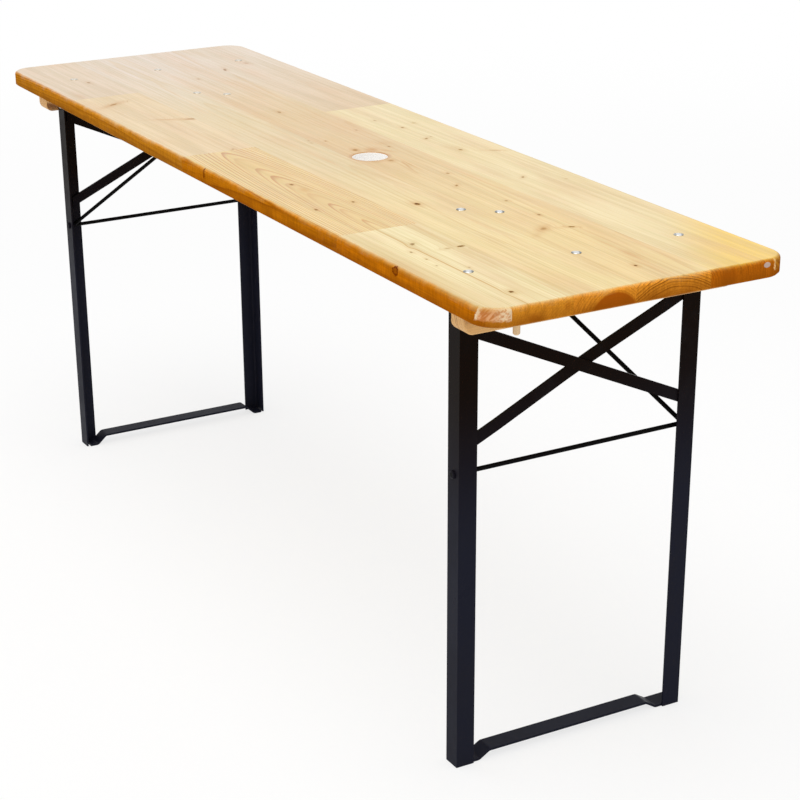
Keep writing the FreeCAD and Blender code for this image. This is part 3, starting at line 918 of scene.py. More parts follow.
    def _bore_shares(self, surface: Surface, hole: Vector, hole_radius: float) -> tuple[Socket, Socket]:
        """Where the umbrella hole's wall shows, pale bare wood that is painted near white as painted light,
        and the brown shade on the face round it.

        Args:
            surface: The board's material.
            hole: A point on the hole's axis.
            hole_radius: The hole's radius in metres.

        Returns:
            The wall's share and the shade's share.
        """
        x, y, _ = surface.split(surface.vector("SUBTRACT", surface.here, (hole.x, hole.y, 0.0)))
        reach = surface.minus(surface.reach(x, y), hole_radius)
        patchy = surface.smooth(surface.noise(surface.here, self.shade_scale), self.shade_depth)
        ring = surface.smooth(reach, Step(*self.shade_reach, 1.0, 0.0))
        return surface.smooth(reach, Step(*self.wall_edge, 1.0, 0.0)), surface.times(ring, patchy)

    def _seam_share(self, surface: Surface, name: str) -> Socket:
        """The thin glue line round the board.

        Args:
            surface: The board's material.
            name: The board's node name.

        Returns:
            The share's socket.
        """
        low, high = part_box(name)
        offset = surface.vector("SUBTRACT", surface.here, (low + high) / 2)
        gaps = surface.vector("SUBTRACT", (high - low) / 2, surface.vector("ABSOLUTE", offset))
        x, y, _ = surface.split(gaps)
        return surface.smooth(surface.math("MINIMUM", x, y), self.seam_line)


@dataclass(frozen=True)
class RawWoodFinish:
    """Planed wood without lacquer, with lengths in millimetres."""

    name: str
    grain: Grain
    pith: Pair
    early: Colour = (0.83, 0.48, 0.18)
    late: Colour = (0.34, 0.135, 0.035)
    lean: Pair = (0.03, 0.05)
    spacing: float = 6.0
    wobble: float = 12.0
    streak_depth: Step = Step(0.25, 0.75, 0.86, 1.06)
    roughness: Step = Step(0.0, 1.0, 0.5, 0.75)
    bump_share: float = 0.35
    bump_height: float = 0.3 * MM

    def make(self, effects: SharedEffects) -> bpy.types.Material:
        """Builds the material.

        Args:
            effects: The shared node groups.

        Returns:
            The material.
        """
        surface = Surface(self.name, effects)
        parts = (surface.along, surface.across, surface.up)
        grain = surface.join(*(parts[axis] for axis in self.grain.value))
        rings = surface.rings(grain, self.pith, self.lean, self.spacing, self.wobble)
        fibre = rings.outputs["Fibre"]
        colour = surface.mix(rings.outputs["Late"], self.early, self.late)
        return surface.shade({
            "Base Color": surface.scaled(colour, surface.smooth(fibre, self.streak_depth)),
            "Roughness": surface.smooth(fibre, self.roughness),
            "Normal": surface.bump(fibre, self.bump_share, self.bump_height),
        })


@dataclass(frozen=True)
class PaintFinish:
    """Black paint on steel, a little dusty, with a painted reflection: warmer high up and cooler low down."""

    name: str
    # High and low carry a painted reflection: warm brown high up and cool blue low down, with the turn between
    # them.
    high: Colour
    low: Colour
    dust: Colour
    specular: float
    turn: Step = Step(340 * MM, 620 * MM)
    grit: float = 420.0
    dust_share: Step = Step(0.45, 0.75, 0.0, 0.35)
    roughness: Step = Step(0.3, 0.7, 0.26, 0.46)
    bump_share: float = 0.12
    bump_height: float = 0.2 * MM

    def make(self, effects: SharedEffects) -> bpy.types.Material:
        """Builds the material.

        Args:
            effects: The shared node groups.

        Returns:
            The material.
        """
        surface = Surface(self.name, effects)
        height, smudge = surface.skin(self.grit)
        # Painted reflection: cool low down, turning warm high up.
        paint = surface.mix(surface.smooth(surface.up, self.turn), self.low, self.high)
        return surface.shade({
            "Base Color": surface.mix(surface.smooth(smudge, self.dust_share), paint, self.dust),
            "Roughness": surface.smooth(smudge, self.roughness),
            "Specular IOR Level": self.specular,
            "Normal": surface.bump(height, self.bump_share, self.bump_height),
        })


@dataclass(frozen=True)
class SteelFinish:
    """Plated or bare steel with fine marks.

    It gets a painted dark reflection toward the rim of a turned piece, and it is duller at the far end.
    """

    name: str
    bright: Colour
    dull: Colour
    smooth: float
    rough: float
    # Colour of the painted dark reflection toward a turned piece's rim.
    painted_dark_reflection: Colour = (0.10, 0.11, 0.11)
    far_dull: Colour = (0.66, 0.60, 0.50)
    grit: float = 900.0
    spot_scale: float = 260.0
    spot_edge: Step = Step(0.4, 0.7)
    spot_range: Pair = (0.3, 0.7)
    far_fade: Step = Step(-0.4, 0.4, 1.0, 0.0)
    far_share: float = 0.8
    far_rim: Step = Step(0.0, 1.0, 1.0, 0.3)
    patch_scale: float = 95.0
    patch_depth: Step = Step(0.4, 0.6, 0.55, 1.0)
    rim_fade: Step = Step(0.3, 0.7, 0.0, 0.85)
    bump_share: float = 0.15
    bump_height: float = 0.15 * MM

    def make(self, effects: SharedEffects) -> bpy.types.Material:
        """Builds the material.

        Args:
            effects: The shared node groups.

        Returns:
            The material.
        """
        surface = Surface(self.name, effects)
        height, _ = surface.skin(self.grit)
        spots = surface.noise(surface.here, self.spot_scale, octaves=3.0)
        colour = surface.mix(surface.smooth(spots, self.spot_edge), self.bright, self.dull)
        far = surface.smooth(surface.along, self.far_fade)
        colour = surface.mix(surface.times(far, self.far_share), colour, self.far_dull)
        patchy = surface.noise(surface.here, self.patch_scale, octaves=1.0)
        patchy = surface.times(surface.smooth(patchy, self.patch_depth), surface.smooth(far, self.far_rim))
        # Painted dark reflection: patchy, darker toward the rim or the flanks of a turned piece.
        rim = surface.add("ShaderNodeAttribute", attribute_name=Turned.rim_name).outputs["Fac"]
        dark = surface.times(surface.smooth(rim, self.rim_fade), patchy)
        return surface.shade({
            "Base Color": surface.mix(dark, colour, self.painted_dark_reflection),
            "Roughness": surface.smooth(spots, Step(*self.spot_range, self.smooth, self.rough)),
            "Metallic": 1.0,
            "Normal": surface.bump(height, self.bump_share, self.bump_height),
        })


def dress(node: str, material: bpy.types.Material) -> None:
    """Gives a CAD node its material.

    Args:
        node: The node's name.
        material: The material.
    """
    mesh = frame["nodes"][node].data
    mesh.materials.clear()
    mesh.materials.append(material)
    LOG.info("dressed %s with %s", node, material.name)


def new_piece(name: str, mesh: bmesh.types.BMesh, material: bpy.types.Material, body: str,
              slot: Slot) -> bpy.types.Object:
    """Turns a bmesh into a piece that rides on a body.

    Args:
        name: The piece's name.
        mesh: Its shape, in the table's frame.
        material: Its material.
        body: The body that it moves with.
        slot: The record's material slot; not used.

    Returns:
        The piece.
    """
    data = bpy.data.meshes.new(name)
    bmesh.ops.recalc_face_normals(mesh, faces=mesh.faces)
    mesh.to_mesh(data)
    mesh.free()
    data.materials.append(material)
    data.shade_smooth()
    data.set_sharp_from_angle(angle=SHARP_ANGLE)
    piece = bpy.data.objects.new(name, data)
    bpy.context.scene.collection.objects.link(piece)
    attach(piece, body)
    LOG.info("made %s on %s", name, body)
    return piece


def pieces_of(node: str, apart: float = 25.0 * MM) -> list[tuple[Vector, Vector]]:
    """Boxes of a node's separate pieces.

    Args:
        node: The node's name.
        apart: Pieces are at least this far from one another in plan.

    Returns:
        The low and the high corner of each piece.
    """
    groups: list[list[Vector]] = []
    for vertex in frame["nodes"][node].data.vertices:
        group = next((g for g in groups if (g[0].xy - vertex.co.xy).length < apart), None)
        if group is None:
            groups.append([vertex.co])
        else:
            group.append(vertex.co)
    return [(Vector(map(min, zip(*group))), Vector(map(max, zip(*group)))) for group in groups]


def facing_side(low: Vector, high: Vector) -> Matrix:
    """Place of a turned piece whose axis points away from the table's middle, sideways.

    Args:
        low: The low corner of the CAD piece's box.
        high: Its high corner.

    Returns:
        The place of the piece's own foot and axis.
    """
    middle = (low + high) / 2
    side = math.copysign(1.0, middle.y)
    foot = Vector((middle.x, low.y if side > 0 else high.y, middle.z))
    return Matrix.Translation(foot) @ Matrix.Rotation(-side * math.pi / 2, 4, "X")


@dataclass(frozen=True)
class Turned:
    """A small piece turned about its own axis.

    Its outline gives radius and height of each point in millimetres. Its metal gets a painted dark reflection
    toward its rim, or toward two sides of it where the way to them is given.
    """

    outline: tuple[Pair, ...]
    painted_dark_way: Pair | None = None
    segments: int = 32
    merge_reach: float = 0.001 * MM
    rim_name: ClassVar[str] = "rim_share"

    def add(self, mesh: bmesh.types.BMesh, place: Matrix) -> None:
        """Adds the piece to a mesh.

        Args:
            mesh: The mesh that gathers a group of pieces.
            place: Where its axis stands.
        """
        layers = mesh.verts.layers.float
        if self.rim_name not in layers:
            layers.new(self.rim_name)
        start = len(mesh.verts)
        mesh.from_mesh(self.spun())
        mesh.verts.ensure_lookup_table()
        fresh = mesh.verts[start:]
        layer = layers[self.rim_name]
        widest = max(radius for radius, _ in self.outline) * MM
        for vert in fresh:
            # Share of the painted dark reflection: along the given way, else out from the axis.
            reach = abs(vert.co.xy.dot(self.painted_dark_way)) if self.painted_dark_way else vert.co.xy.length
            vert[layer] = reach / widest
        bmesh.ops.transform(mesh, matrix=place, verts=fresh)

    def spun(self) -> bpy.types.Mesh:
        """The piece alone, its axis on the upright through the origin.

        Returns:
            The piece's mesh.
        """
        turned = bmesh.new()
        points = [turned.verts.new((radius * MM, 0.0, height * MM)) for radius, height in self.outline]
        edges = [turned.edges.new(pair) for pair in zip(points, points[1:])]
        bmesh.ops.spin(turned, geom=points + edges, cent=(0, 0, 0), axis=(0, 0, 1), dvec=(0, 0, 0),
                       angle=math.tau, steps=self.segments, use_merge=True, use_duplicate=False)
        bmesh.ops.remove_doubles(turned, verts=turned.verts, dist=self.merge_reach)
        bmesh.ops.recalc_face_normals(turned, faces=turned.faces)
        data = bpy.data.meshes.new("turned_piece")
        turned.to_mesh(data)
        turned.free()
        return data


def crown(radius: float, base: float, height: float, steps: int = 8) -> list[Pair]:
    """Outline of a low domed head, from its edge to its middle.

    Args:
        radius: The head's radius.
        base: Height of its edge.
        height: How far its middle stands above the edge.
        steps: Points on the way.

    Returns:
        Radius and height of each point.
    """
    quarter = math.pi / 2
    angles = [quarter * step / steps for step in range(steps)]
    return [(radius * math.cos(a), base + height * math.sin(a)) for a in angles] + [(0.0, base + height)]


@dataclass
class TableTop:
    """The glued boards of the top, each with its own tree."""

    finishes: dict[str, PineFinish] = field(init=False)

    def __post_init__(self) -> None:
        """Chooses each board's colour, rings and knots."""
        self.finishes = {
            "front_board_1": PineFinish(
                (0.67, 0.50, 0.315), (0.49, 0.31, 0.14), (-330, 690), (0.02, 0.03), 4.2,
                painted_rim_shade=(0.24, 0.085, 0.010),
                knots=(Knot(-693, -163, 7, 4, 0.5), stain(-583, -223, 14, 5, 0.5)),
            ),
            "front_board_2": PineFinish(
                (0.72, 0.525, 0.255), (0.53, 0.31, 0.10), (-40, 610), (0.0, -0.02), 4.6, late_share=0.45,
                painted_rim_shade=(0.25, 0.085, 0.009),
                knots=(
                    Knot(-306, -121, 14, 5, 0.5, -66, 1.0), stain(-322, -153, 12, 3, 1.0, -66),
                    Knot(-488, -195, 14, 5, 0.4, 57, 1.0), Knot(-502, -167, 5, 3, 0.4),
                    Knot(-63, -153, 3, 3, 0.6), stain(-240, -157, 100, 1.4, 0.35),
                ),
            ),
            "front_board_3": PineFinish(
                (0.755, 0.55, 0.185), (0.50, 0.20, 0.012), (-176, 718.8), (0.0, 0.075), 4.4, 5.0,
                late_share=1.0, rim_early=(0.64, 0.21, 0.004),
                rim_knots=(Knot(30, 752, 4, 11, 0.9),),
                knots=(
                    Knot(338, -140, 5.5, 3.5, 0.75), Knot(197, -174, 6, 4, 0.7),
                    Knot(349, -209, 5.5, 3.5, 0.7), stain(236, -172, 9, 5, 0.95),
                    stain(150, -176, 14, 4, 0.4), stain(432, -174, 15, 4, 0.4),
                    stain(300, -176, 110, 9, 0.38), stain(50, -178, 30, 12, 0.3),
                    stain(480, -163, 24, 3, 0.5), stain(480, -187, 24, 3, 0.4),
                ),
            ),
            "front_board_4": PineFinish(
                (0.81, 0.68, 0.335), (0.58, 0.34, 0.085), (-118, 700), (0.015, 0.01), 3.6, late_share=0.45,
                rim_early=(0.67, 0.20, 0.003), end_early=(0.86, 0.335, 0.026), end_lines=0.3,
                knot_halo=(0.50, 0.26, 0.03),
                hearts=(Heart(-176, 737, 15, 0.5, 12), Heart(-123, 748, 9, 0.4, 7)),
                rim_knots=(Knot(663, 753, 10, 8, 0.95),),
                knots=(
                    Knot(626, -122, 4.5, 8, 0.85), Knot(626, -142, 3, 10, 0.3, stain=0.6),
                    Knot(582, -176, 8, 4.5, 0.62, 35), Knot(616, -197.5, 4.5, 2.5, 0.7),
                    Knot(656, -196, 3.5, 2.2, 0.6), Knot(690, -199.5, 3.5, 2.2, 0.45),
                    Knot(842, -175, 5.5, 4.5, 0.95), Knot(719, -165, 3, 2, 0.5),
                    stain(700, -184, 150, 0.9, 1.7), stain(520, -127, 100, 7, 0.65),
                    stain(850, -119, 40, 3.5, 0.4), stain(720, -246, 190, 15, 0.75),
                    stain(652, -234, 9, 7, 0.65),
                ),
            ),
            "inner_front_board": PineFinish(
                (0.77, 0.59, 0.235), (0.60, 0.36, 0.085), (-40, 712), (0.012, 0.012), 4.0,
                mid_early=(0.68, 0.52, 0.255), far_early=(0.68, 0.555, 0.44),
                heart_colour=(0.42, 0.085, 0.003), end_rings=(-49, 714.6, 4.0),
                hearts=(Heart(-49, 714.6, 42, 0.92, 4),),
                knots=(
                    Knot(398, -62, 8, 6, 1.0), Knot(-50, -17, 3, 2, 0.5), Knot(-33, -20, 3, 2, 0.4),
                    stain(89, -53, 16, 2.2, 0.5), stain(200, -60, 30, 1.2, 0.35),
                    stain(480, -59, 40, 1.2, 0.4, 4), stain(600, -62, 45, 1.2, 0.4, -4),
                    stain(128, -14, 8, 6, 0.3), stain(-525, -60, 12, 1.5, 0.3),
                ),
            ),
            "inner_rear_board": PineFinish(
                (0.76, 0.56, 0.207), (0.58, 0.32, 0.07), (116, 696), (-0.012, 0.012), 5.6, 12.0,
                late_share=0.45, mid_early=(0.66, 0.455, 0.185), far_early=(0.675, 0.55, 0.43),
                rim_late=(0.22, 0.055, 0.002), end_lines=1.0, end_rings=(50, 660, 3.9),
                knots=(
                    Knot(57, 80, 4, 3, 0.55), Knot(262, 73, 4.5, 3.5, 0.6), Knot(335, 46, 6, 3, 0.6, 40),
                    Knot(452, 64, 4, 3.5, 0.55), Knot(544, 63, 4, 3, 0.7), Knot(623, 68, 7, 3.4, 0.82, -56),
                    Knot(611, 27, 9, 5.5, 0.35, 45, 1.1), stain(630, 8, 10, 4, 0.5, 50),
                    stain(618, 50, 8, 3, 0.4, -60), stain(722, 61, 12, 2.2, 0.55),
                    stain(778, 61, 13, 4, 0.75), stain(850, 50, 24, 1.5, 0.6), stain(815, 48, 6, 5, 0.4),
                    Knot(828.5, 35, 4.5, 3.2, 0.95), stain(690, 80, 30, 10, 0.25),
                    stain(110, 6, 60, 13, 0.35), Knot(49, 20, 7, 6, 0.5, stain=1.1),
                    stain(61, 44, 6, 9, 1.2, -20), stain(76, 61, 8, 3, 0.9, -25),
                    stain(136, 14, 5, 11, 0.85), Knot(142, 36, 6, 6, 0.3, stain=1.0),
                    Knot(190, 41, 22, 1.4, 0.12, 12, 0.9), Knot(178, 50, 18, 1.2, 0.1, 4, 0.8),
                    stain(200, 33, 20, 1.2, 0.7, 6), stain(31, 85, 6, 8, 0.4), stain(260, 94, 60, 1.3, 0.5),
                    Knot(-613, 32, 5, 3, 0.45), Knot(-273, 38, 7, 3.5, 0.6), Knot(-77, 90, 4, 2.5, 0.45),
                    Knot(-33, 7, 4, 2.5, 0.6), stain(-430, 3, 80, 4, 0.35),
                ),
            ),
            "rear_board_1": PineFinish(
                (0.66, 0.475, 0.255), (0.50, 0.31, 0.12), (320, 650), (0.01, -0.01), 4.4,
                mid_early=(0.66, 0.465, 0.235), far_early=(0.69, 0.55, 0.40),
                knots=(Knot(-665, 113, 15, 4.5, 0.55, 20, 0.6), Knot(-703, 178, 9, 6, 0.25, stain=0.5)),
            ),
            "rear_board_2": PineFinish(
                (0.77, 0.615, 0.285), (0.60, 0.36, 0.095), (60, 735), (0.01, 0.0), 4.2, 9.0,
                end_early=(0.58, 0.152, 0.006), end_lines=0.6, plug=(206, 753), warm_corner=(235, 139),
                hearts=(Heart(140, 744, 20, 0.7, 12),),
                corner_wood=(0.50, 0.19, 0.015), corner_streak=(0.33, 0.10, 0.008),
                corner_pale=(0.92, 0.58, 0.26), corner_reach=20, corner_paling=0.0,
                corner_flare=0.0, corner_painted_shade=0.8,
                knots=(
                    Knot(-52, 168, 5, 3.5, 0.6), Knot(40, 163, 5.5, 3.5, 0.6, 40),
                    Knot(32, 175, 4, 3, 0.35), Knot(138, 172, 6, 4.5, 0.55), stain(125, 176, 9, 8, 0.3),
                    Knot(172, 219, 11, 3, 0.25, -58, 0.6), Knot(344.5, 163, 5.5, 3, 0.65, 40),
                    Knot(388, 216, 4, 4, 0.2), Knot(-124, 153, 5, 3, 0.45), Knot(-73, 203, 5, 5, 0.3),
                ),
            ),
        }

    def build(self, effects: SharedEffects) -> None:
        """Dresses every board.

        Args:
            effects: The shared node groups.
        """
        mount = next(m for m in frame["record"]["mounts"] if m["name"] == "umbrella_hole")
        hole = Vector(mount["pos_m"])
        for node, finish in self.finishes.items():
            dress(node, finish.make(node, effects, hole, mount["dims"]["r_mm"] * MM))


@dataclass
class Underframe:
    """Battens and pegs under the top."""

    batten: RawWoodFinish = RawWoodFinish("raw_batten_wood", Grain.ACROSS, (600.0, 640.0))
    peg: RawWoodFinish = RawWoodFinish("raw_peg_wood", Grain.UPRIGHT, (700.0, -150.0), (0.80, 0.56, 0.32))

    def build(self, effects: SharedEffects) -> None:
        """Dresses both ends' battens and pegs.

        Args:
            effects: The shared node groups.
        """
        batten = self.batten.make(effects)
        peg = self.peg.make(effects)
        for end in End:
            dress(f"{end.prefix}_batten", batten)
            dress(f"{end.prefix}_peg", peg)


@dataclass
class WeldSeam:
    """A row of overlapping weld ripples along a straight seam."""

    start: Vector
    end: Vector
    radius: float = 2.0 * MM
    step: float = 1.5 * MM
    flatness: float = 0.62
    sides: int = 10
    bands: int = 6

    def add(self, mesh: bmesh.types.BMesh) -> None:
        """Adds the ripples to a mesh.

        Args:
            mesh: The mesh that gathers an end's seams.
        """
        run = self.end - self.start
        count = max(1, round(run.length / self.step))
        turn = Vector((0.0, 0.0, 1.0)).rotation_difference(run).to_matrix().to_4x4()
        squash = Matrix.Diagonal((self.radius, self.radius, self.radius * self.flatness, 1.0))
        for index in range(count + 1):
            place = Matrix.Translation(self.start + run * (index / count)) @ turn @ squash
            bmesh.ops.create_uvsphere(mesh, u_segments=self.sides, v_segments=self.bands, radius=1.0,
                                      matrix=place)


@dataclass
class LegFrame:
    """One end's legs, crossed bars and foot bar with their welds.

    A weld lies in from the flange's inner face, and a bar's weld out past the bar's end. A foot's weld lies
    up from the bar's underside and stops short of the flange's edge.
    """

    end: End
    nodes: tuple[str, ...] = ("front_leg", "rear_leg", "falling_bar", "rising_bar", "foot_bar")
    leg_wall: float = 3.0 * MM
    leg_flange: float = 30.0 * MM
    bar_width: float = 18.0 * MM
    bar_weld_in: float = 1.4 * MM
    bar_weld_out: float = 0.4 * MM
    bar_weld_share: float = 0.9
    foot_weld_in: float = 0.9 * MM
    foot_weld_up: float = 4.4 * MM
    foot_weld_short: float = 6.0 * MM

    def build(self, paint: bpy.types.Material) -> None:
        """Dresses the frame and adds its welds.

        Args:
            paint: The steel's paint.
        """
        for node in self.nodes:
            dress(f"{self.end.prefix}_{node}", paint)
        mesh = bmesh.new()
        for seam in self.bar_seams() + self.foot_seams():
            seam.add(mesh)
        new_piece(f"{self.end.prefix}_frame_welds", mesh, paint, f"{self.end.prefix}_legs", Slot.PAINT)

    def inner_face(self) -> float:
        """Place along the table of the legs' cross flanges' inner face."""
        low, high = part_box(f"{self.end.prefix}_front_leg")
        return high.x - self.leg_wall if self.end is End.NEAR else low.x + self.leg_wall

    def bar_seams(self) -> list[WeldSeam]:
        """Welds at the ends of the crossed bars.

        Returns:
            One upright seam at each end of each bar.
        """
        seams = []
        x = self.inner_face() - self.end.value * self.bar_weld_in
        for name, rise in (("falling_bar", -1), ("rising_bar", 1)):
            low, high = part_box(f"{self.end.prefix}_{name}")
            slope = math.atan2(high.z - low.z - self.bar_width, high.y - low.y)
            half = self.bar_width / math.cos(slope) / 2
            reach = Vector((0.0, 0.0, half * self.bar_weld_share))
            for side, y in ((-1, low.y), (1, high.y)):
                z = high.z - half if side == rise * self.end.value else low.z + half
                middle = Vector((x, y + side * self.bar_weld_out, z))
                seams.append(WeldSeam(middle - reach, middle + reach))
        return seams

    def foot_seams(self) -> list[WeldSeam]:
        """Welds where the foot bar's ends meet the cross flanges.

        Returns:
            One seam along each end.
        """
        low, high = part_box(f"{self.end.prefix}_foot_bar")
        x = self.inner_face() - self.end.value * self.foot_weld_in
        length = self.leg_flange - self.leg_wall - self.foot_weld_short
        seams = []
        for y in (low.y, high.y):
            start = Vector((x, y, low.z + self.foot_weld_up))
            seams.append(WeldSeam(start, start + Vector((0.0, math.copysign(length, -y), 0.0))))
        return seams


@dataclass
class Brace:
    """One end's rod brace with its welds.

    The bent rod's feet stand in from the cross rod's ends, and each weld lies a little way up the arm.
    """

    end: End
    foot_inset: float = 12.6 * MM
    weld_up: float = 4.4 * MM
    weld_half: float = 1.3 * MM
    weld_radius: float = 3.9 * MM
    cap: Turned = Turned((
        (3.55, 0.0), (6.0, 0.0), (6.3, 0.3), (6.3, 1.6), (5.6, 2.6), (4.6, 3.0), (3.55, 3.0), (3.55, 0.0),
    ))

    def build(self, paint: bpy.types.Material, rod_paint: bpy.types.Material) -> None:
        """Dresses the rods and makes the caps and the welds of the bent rod's feet.

        Args:
            paint: The caps' paint.
            rod_paint: The deeper black of the rods.
        """
        prefix = self.end.prefix
        body = f"{prefix}_brace"
        dress(f"{prefix}_brace_bent_rod", rod_paint)
        dress(f"{prefix}_brace_cross_rod", rod_paint)
        caps = bmesh.new()
        for low, high in pieces_of(f"{prefix}_brace_caps"):
            self.cap.add(caps, facing_side(low, high))
        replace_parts(new_piece(f"{prefix}_round_caps", caps, paint, body, Slot.PAINT), f"{prefix}_brace_caps")
        welds = bmesh.new()
        for seam in self.foot_seams():
            seam.add(welds)
        new_piece(f"{prefix}_brace_welds", welds, paint, body, Slot.PAINT)

    def foot_seams(self) -> list[WeldSeam]:
        """Welds of the bent rod's feet on the cross rod.

        Returns:
            One short seam at each foot.
        """
        rod_low, rod_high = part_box(f"{self.end.prefix}_brace_cross_rod")
        bent_low, bent_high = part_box(f"{self.end.prefix}_brace_bent_rod")
        axis = (rod_low + rod_high) / 2
        peak = Vector((bent_low.x if self.end is End.NEAR else bent_high.x, 0.0, bent_high.z))
        half = Vector((0.0, self.weld_half, 0.0))
        seams = []
        for side in (-1, 1):
            foot = Vector((axis.x, side * (rod_high.y - self.foot_inset), axis.z))
            middle = foot + (peak - foot).normalized() * self.weld_up
            seams.append(WeldSeam(middle - half, middle + half, self.weld_radius))
        return seams


@dataclass
class Catch:
    """One end's hinge rail and catch.

    The spring's kept share, how much of its bow is left when the pawl is pressed right up, is not used.
    """

    end: End
    spring_kept: float = 0.18
    merge_reach: float = 0.01 * MM
    flat_angle: float = math.radians(1.0)

    def build(self, paint: bpy.types.Material, zinc: bpy.types.Material, spring: bpy.types.Material) -> None:
        """Dresses the rail, plate and pawl and makes the spring.

        Args:
            paint: The rail's and plate's paint.
            zinc: The pawl's plating.
            spring: The leaf spring's steel.
        """
        prefix = self.end.prefix
        dress(f"{prefix}_hinge_rail", paint)
        dress(f"{prefix}_latch_plate", paint)
        dress(f"{prefix}_catch_pawl", zinc)
        self.make_spring(spring)

    def make_spring(self, steel: bpy.types.Material) -> None:
        """Makes the leaf spring, which on the real table the rising pawl flattens against the plate; here it
        keeps its CAD shape.

        Args:
            steel: The spring's steel.
        """
        prefix = self.end.prefix
        node = f"{prefix}_catch_spring"
        mesh = bmesh.new()
        mesh.from_mesh(frame["nodes"][node].data)
        bmesh.ops.remove_doubles(mesh, verts=mesh.verts, dist=self.merge_reach)
        bmesh.ops.dissolve_limit(mesh, angle_limit=self.flat_angle, verts=mesh.verts, edges=mesh.edges)
        piece = new_piece(f"{prefix}_leaf_spring", mesh, steel, "top", Slot.SPRING)
        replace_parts(piece, node)
        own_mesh(piece)


@dataclass
class Fasteners:
    """Bolts, nuts, washers, screws, rivets and pins, with outlines and bolt and rivet sizes in millimetres.

    A thread's shares are where its root ends, crests and starts again on each turn.
    """

    zinc: bpy.types.Material
    head_radius: float = 7.4
    head_height: float = 1.3
    head_edge: float = 0.4
    shank: float = 3.0
    shank_length: float = 39.4
    thread_length: float = 16.0
    thread_depth: float = 0.6
    thread_shares: Triple = (0.15, 0.5, 0.85)
    pitch: float = 1.0
    # The bolt heads' painted dark reflection lies on their flanks along this way in plan.
    painted_dark_way: Pair = (0.48, 0.877)
    rivet_radius: float = 7.2
    rivet_rise: float = 4.0
    rivet_shank: float = 4.0
    rivet_grip: Pair = (4.0, 11.7)
    nut_sides: int = 6
    nut_edge: float = 0.7 * MM
    washer: Turned = Turned((
        (3.1, 0.0), (6.9, 0.0), (7.2, 0.3), (7.2, 1.1), (6.9, 1.4), (3.1, 1.4), (3.1, 0.0),
    ))
    screw: Turned = Turned((
        (0.0, 2.2), (1.5, 2.2), (1.7, 0.3), (2.0, 0.0), (4.2, 0.0), (2.0, 3.5), (2.0, 48.0), (0.0, 51.0),
    ))

    def build(self) -> None:
        """Makes every group round and dresses the pins."""
        self.gather("top_bolts", Turned(self.bolt_outline(), self.painted_dark_way), self.on_top)
        self.gather("top_washers", self.washer, self.from_below)
        self.gather("batten_screws", self.screw, self.from_below)
        self.gather("pivot_rivets", Turned(self.rivet_outline()), facing_side)
        self.make_nuts()
        dress("catch_pins", self.zinc)

    def rivet_outline(self) -> tuple[Pair, ...]:
        """Outline of a rivet with a domed head at each end.

        Returns:
            Radius and height of each point.
        """
        start, end = self.rivet_grip
        lower = crown(self.rivet_radius, start, -self.rivet_rise)[::-1]
        upper = crown(self.rivet_radius, end, self.rivet_rise)
        return (*lower, (self.rivet_shank, start), (self.rivet_shank, end), *upper)

    def bolt_outline(self) -> tuple[Pair, ...]:
        """Outline of a domed bolt with a thread at its tail.

        Returns:
            Radius and height of each point, the height counted from under the head.
        """
        root = self.shank - self.thread_depth
        points = [(0.0, -self.shank_length), (root, -self.shank_length)]
        for turn in range(round(self.thread_length / self.pitch)):
            low = turn * self.pitch - self.shank_length
            for radius, share in zip((root, self.shank, root), self.thread_shares):
                points.append((radius, low + share * self.pitch))
        thread_end = self.thread_length - self.shank_length
        points += [(self.shank, thread_end), (self.shank, 0.0), (self.head_radius, 0.0)]
        return (*points, *crown(self.head_radius, self.head_edge, self.head_height - self.head_edge))

    def on_top(self, low: Vector, high: Vector) -> Matrix:
        """Place of a bolt whose tail starts at a box's low corner."""
        return Matrix.Translation((0.0, 0.0, self.shank_length * MM)) @ self.from_below(low, high)

    @staticmethod
    def from_below(low: Vector, high: Vector) -> Matrix:
        """Place of a piece that starts at a box's low corner."""
        middle = (low + high) / 2
        return Matrix.Translation((middle.x, middle.y, low.z))

    def gather(self, node: str, shape: Turned, place: Callable[[Vector, Vector], Matrix]) -> None:
        """Makes one group of turned pieces in place of a node.

        Args:
            node: The node that the group stands for.
            shape: The turned piece.
            place: Gives the piece's place from the box of the CAD piece.
        """
        mesh = bmesh.new()
        for low, high in pieces_of(node):
            shape.add(mesh, place(low, high))
        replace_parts(new_piece(f"round_{node}", mesh, self.zinc, "top", Slot.ZINC), node)

    def make_nuts(self) -> None:
        """Makes the nuts with eased edges."""
        mesh = bmesh.new()
        for low, high in pieces_of("top_nuts"):
            size = high - low
            radius = max(size.x, size.y) / 2
            bmesh.ops.create_cone(mesh, cap_ends=True, segments=self.nut_sides, radius1=radius,
                                  radius2=radius, depth=size.z, matrix=Matrix.Translation((low + high) / 2))
        bmesh.ops.bevel(mesh, geom=mesh.edges[:], offset=self.nut_edge, offset_type="OFFSET", segments=2,
                        profile=0.5, affect="EDGES", material=-1)
        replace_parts(new_piece("eased_top_nuts", mesh, self.zinc, "top", Slot.ZINC), "top_nuts")


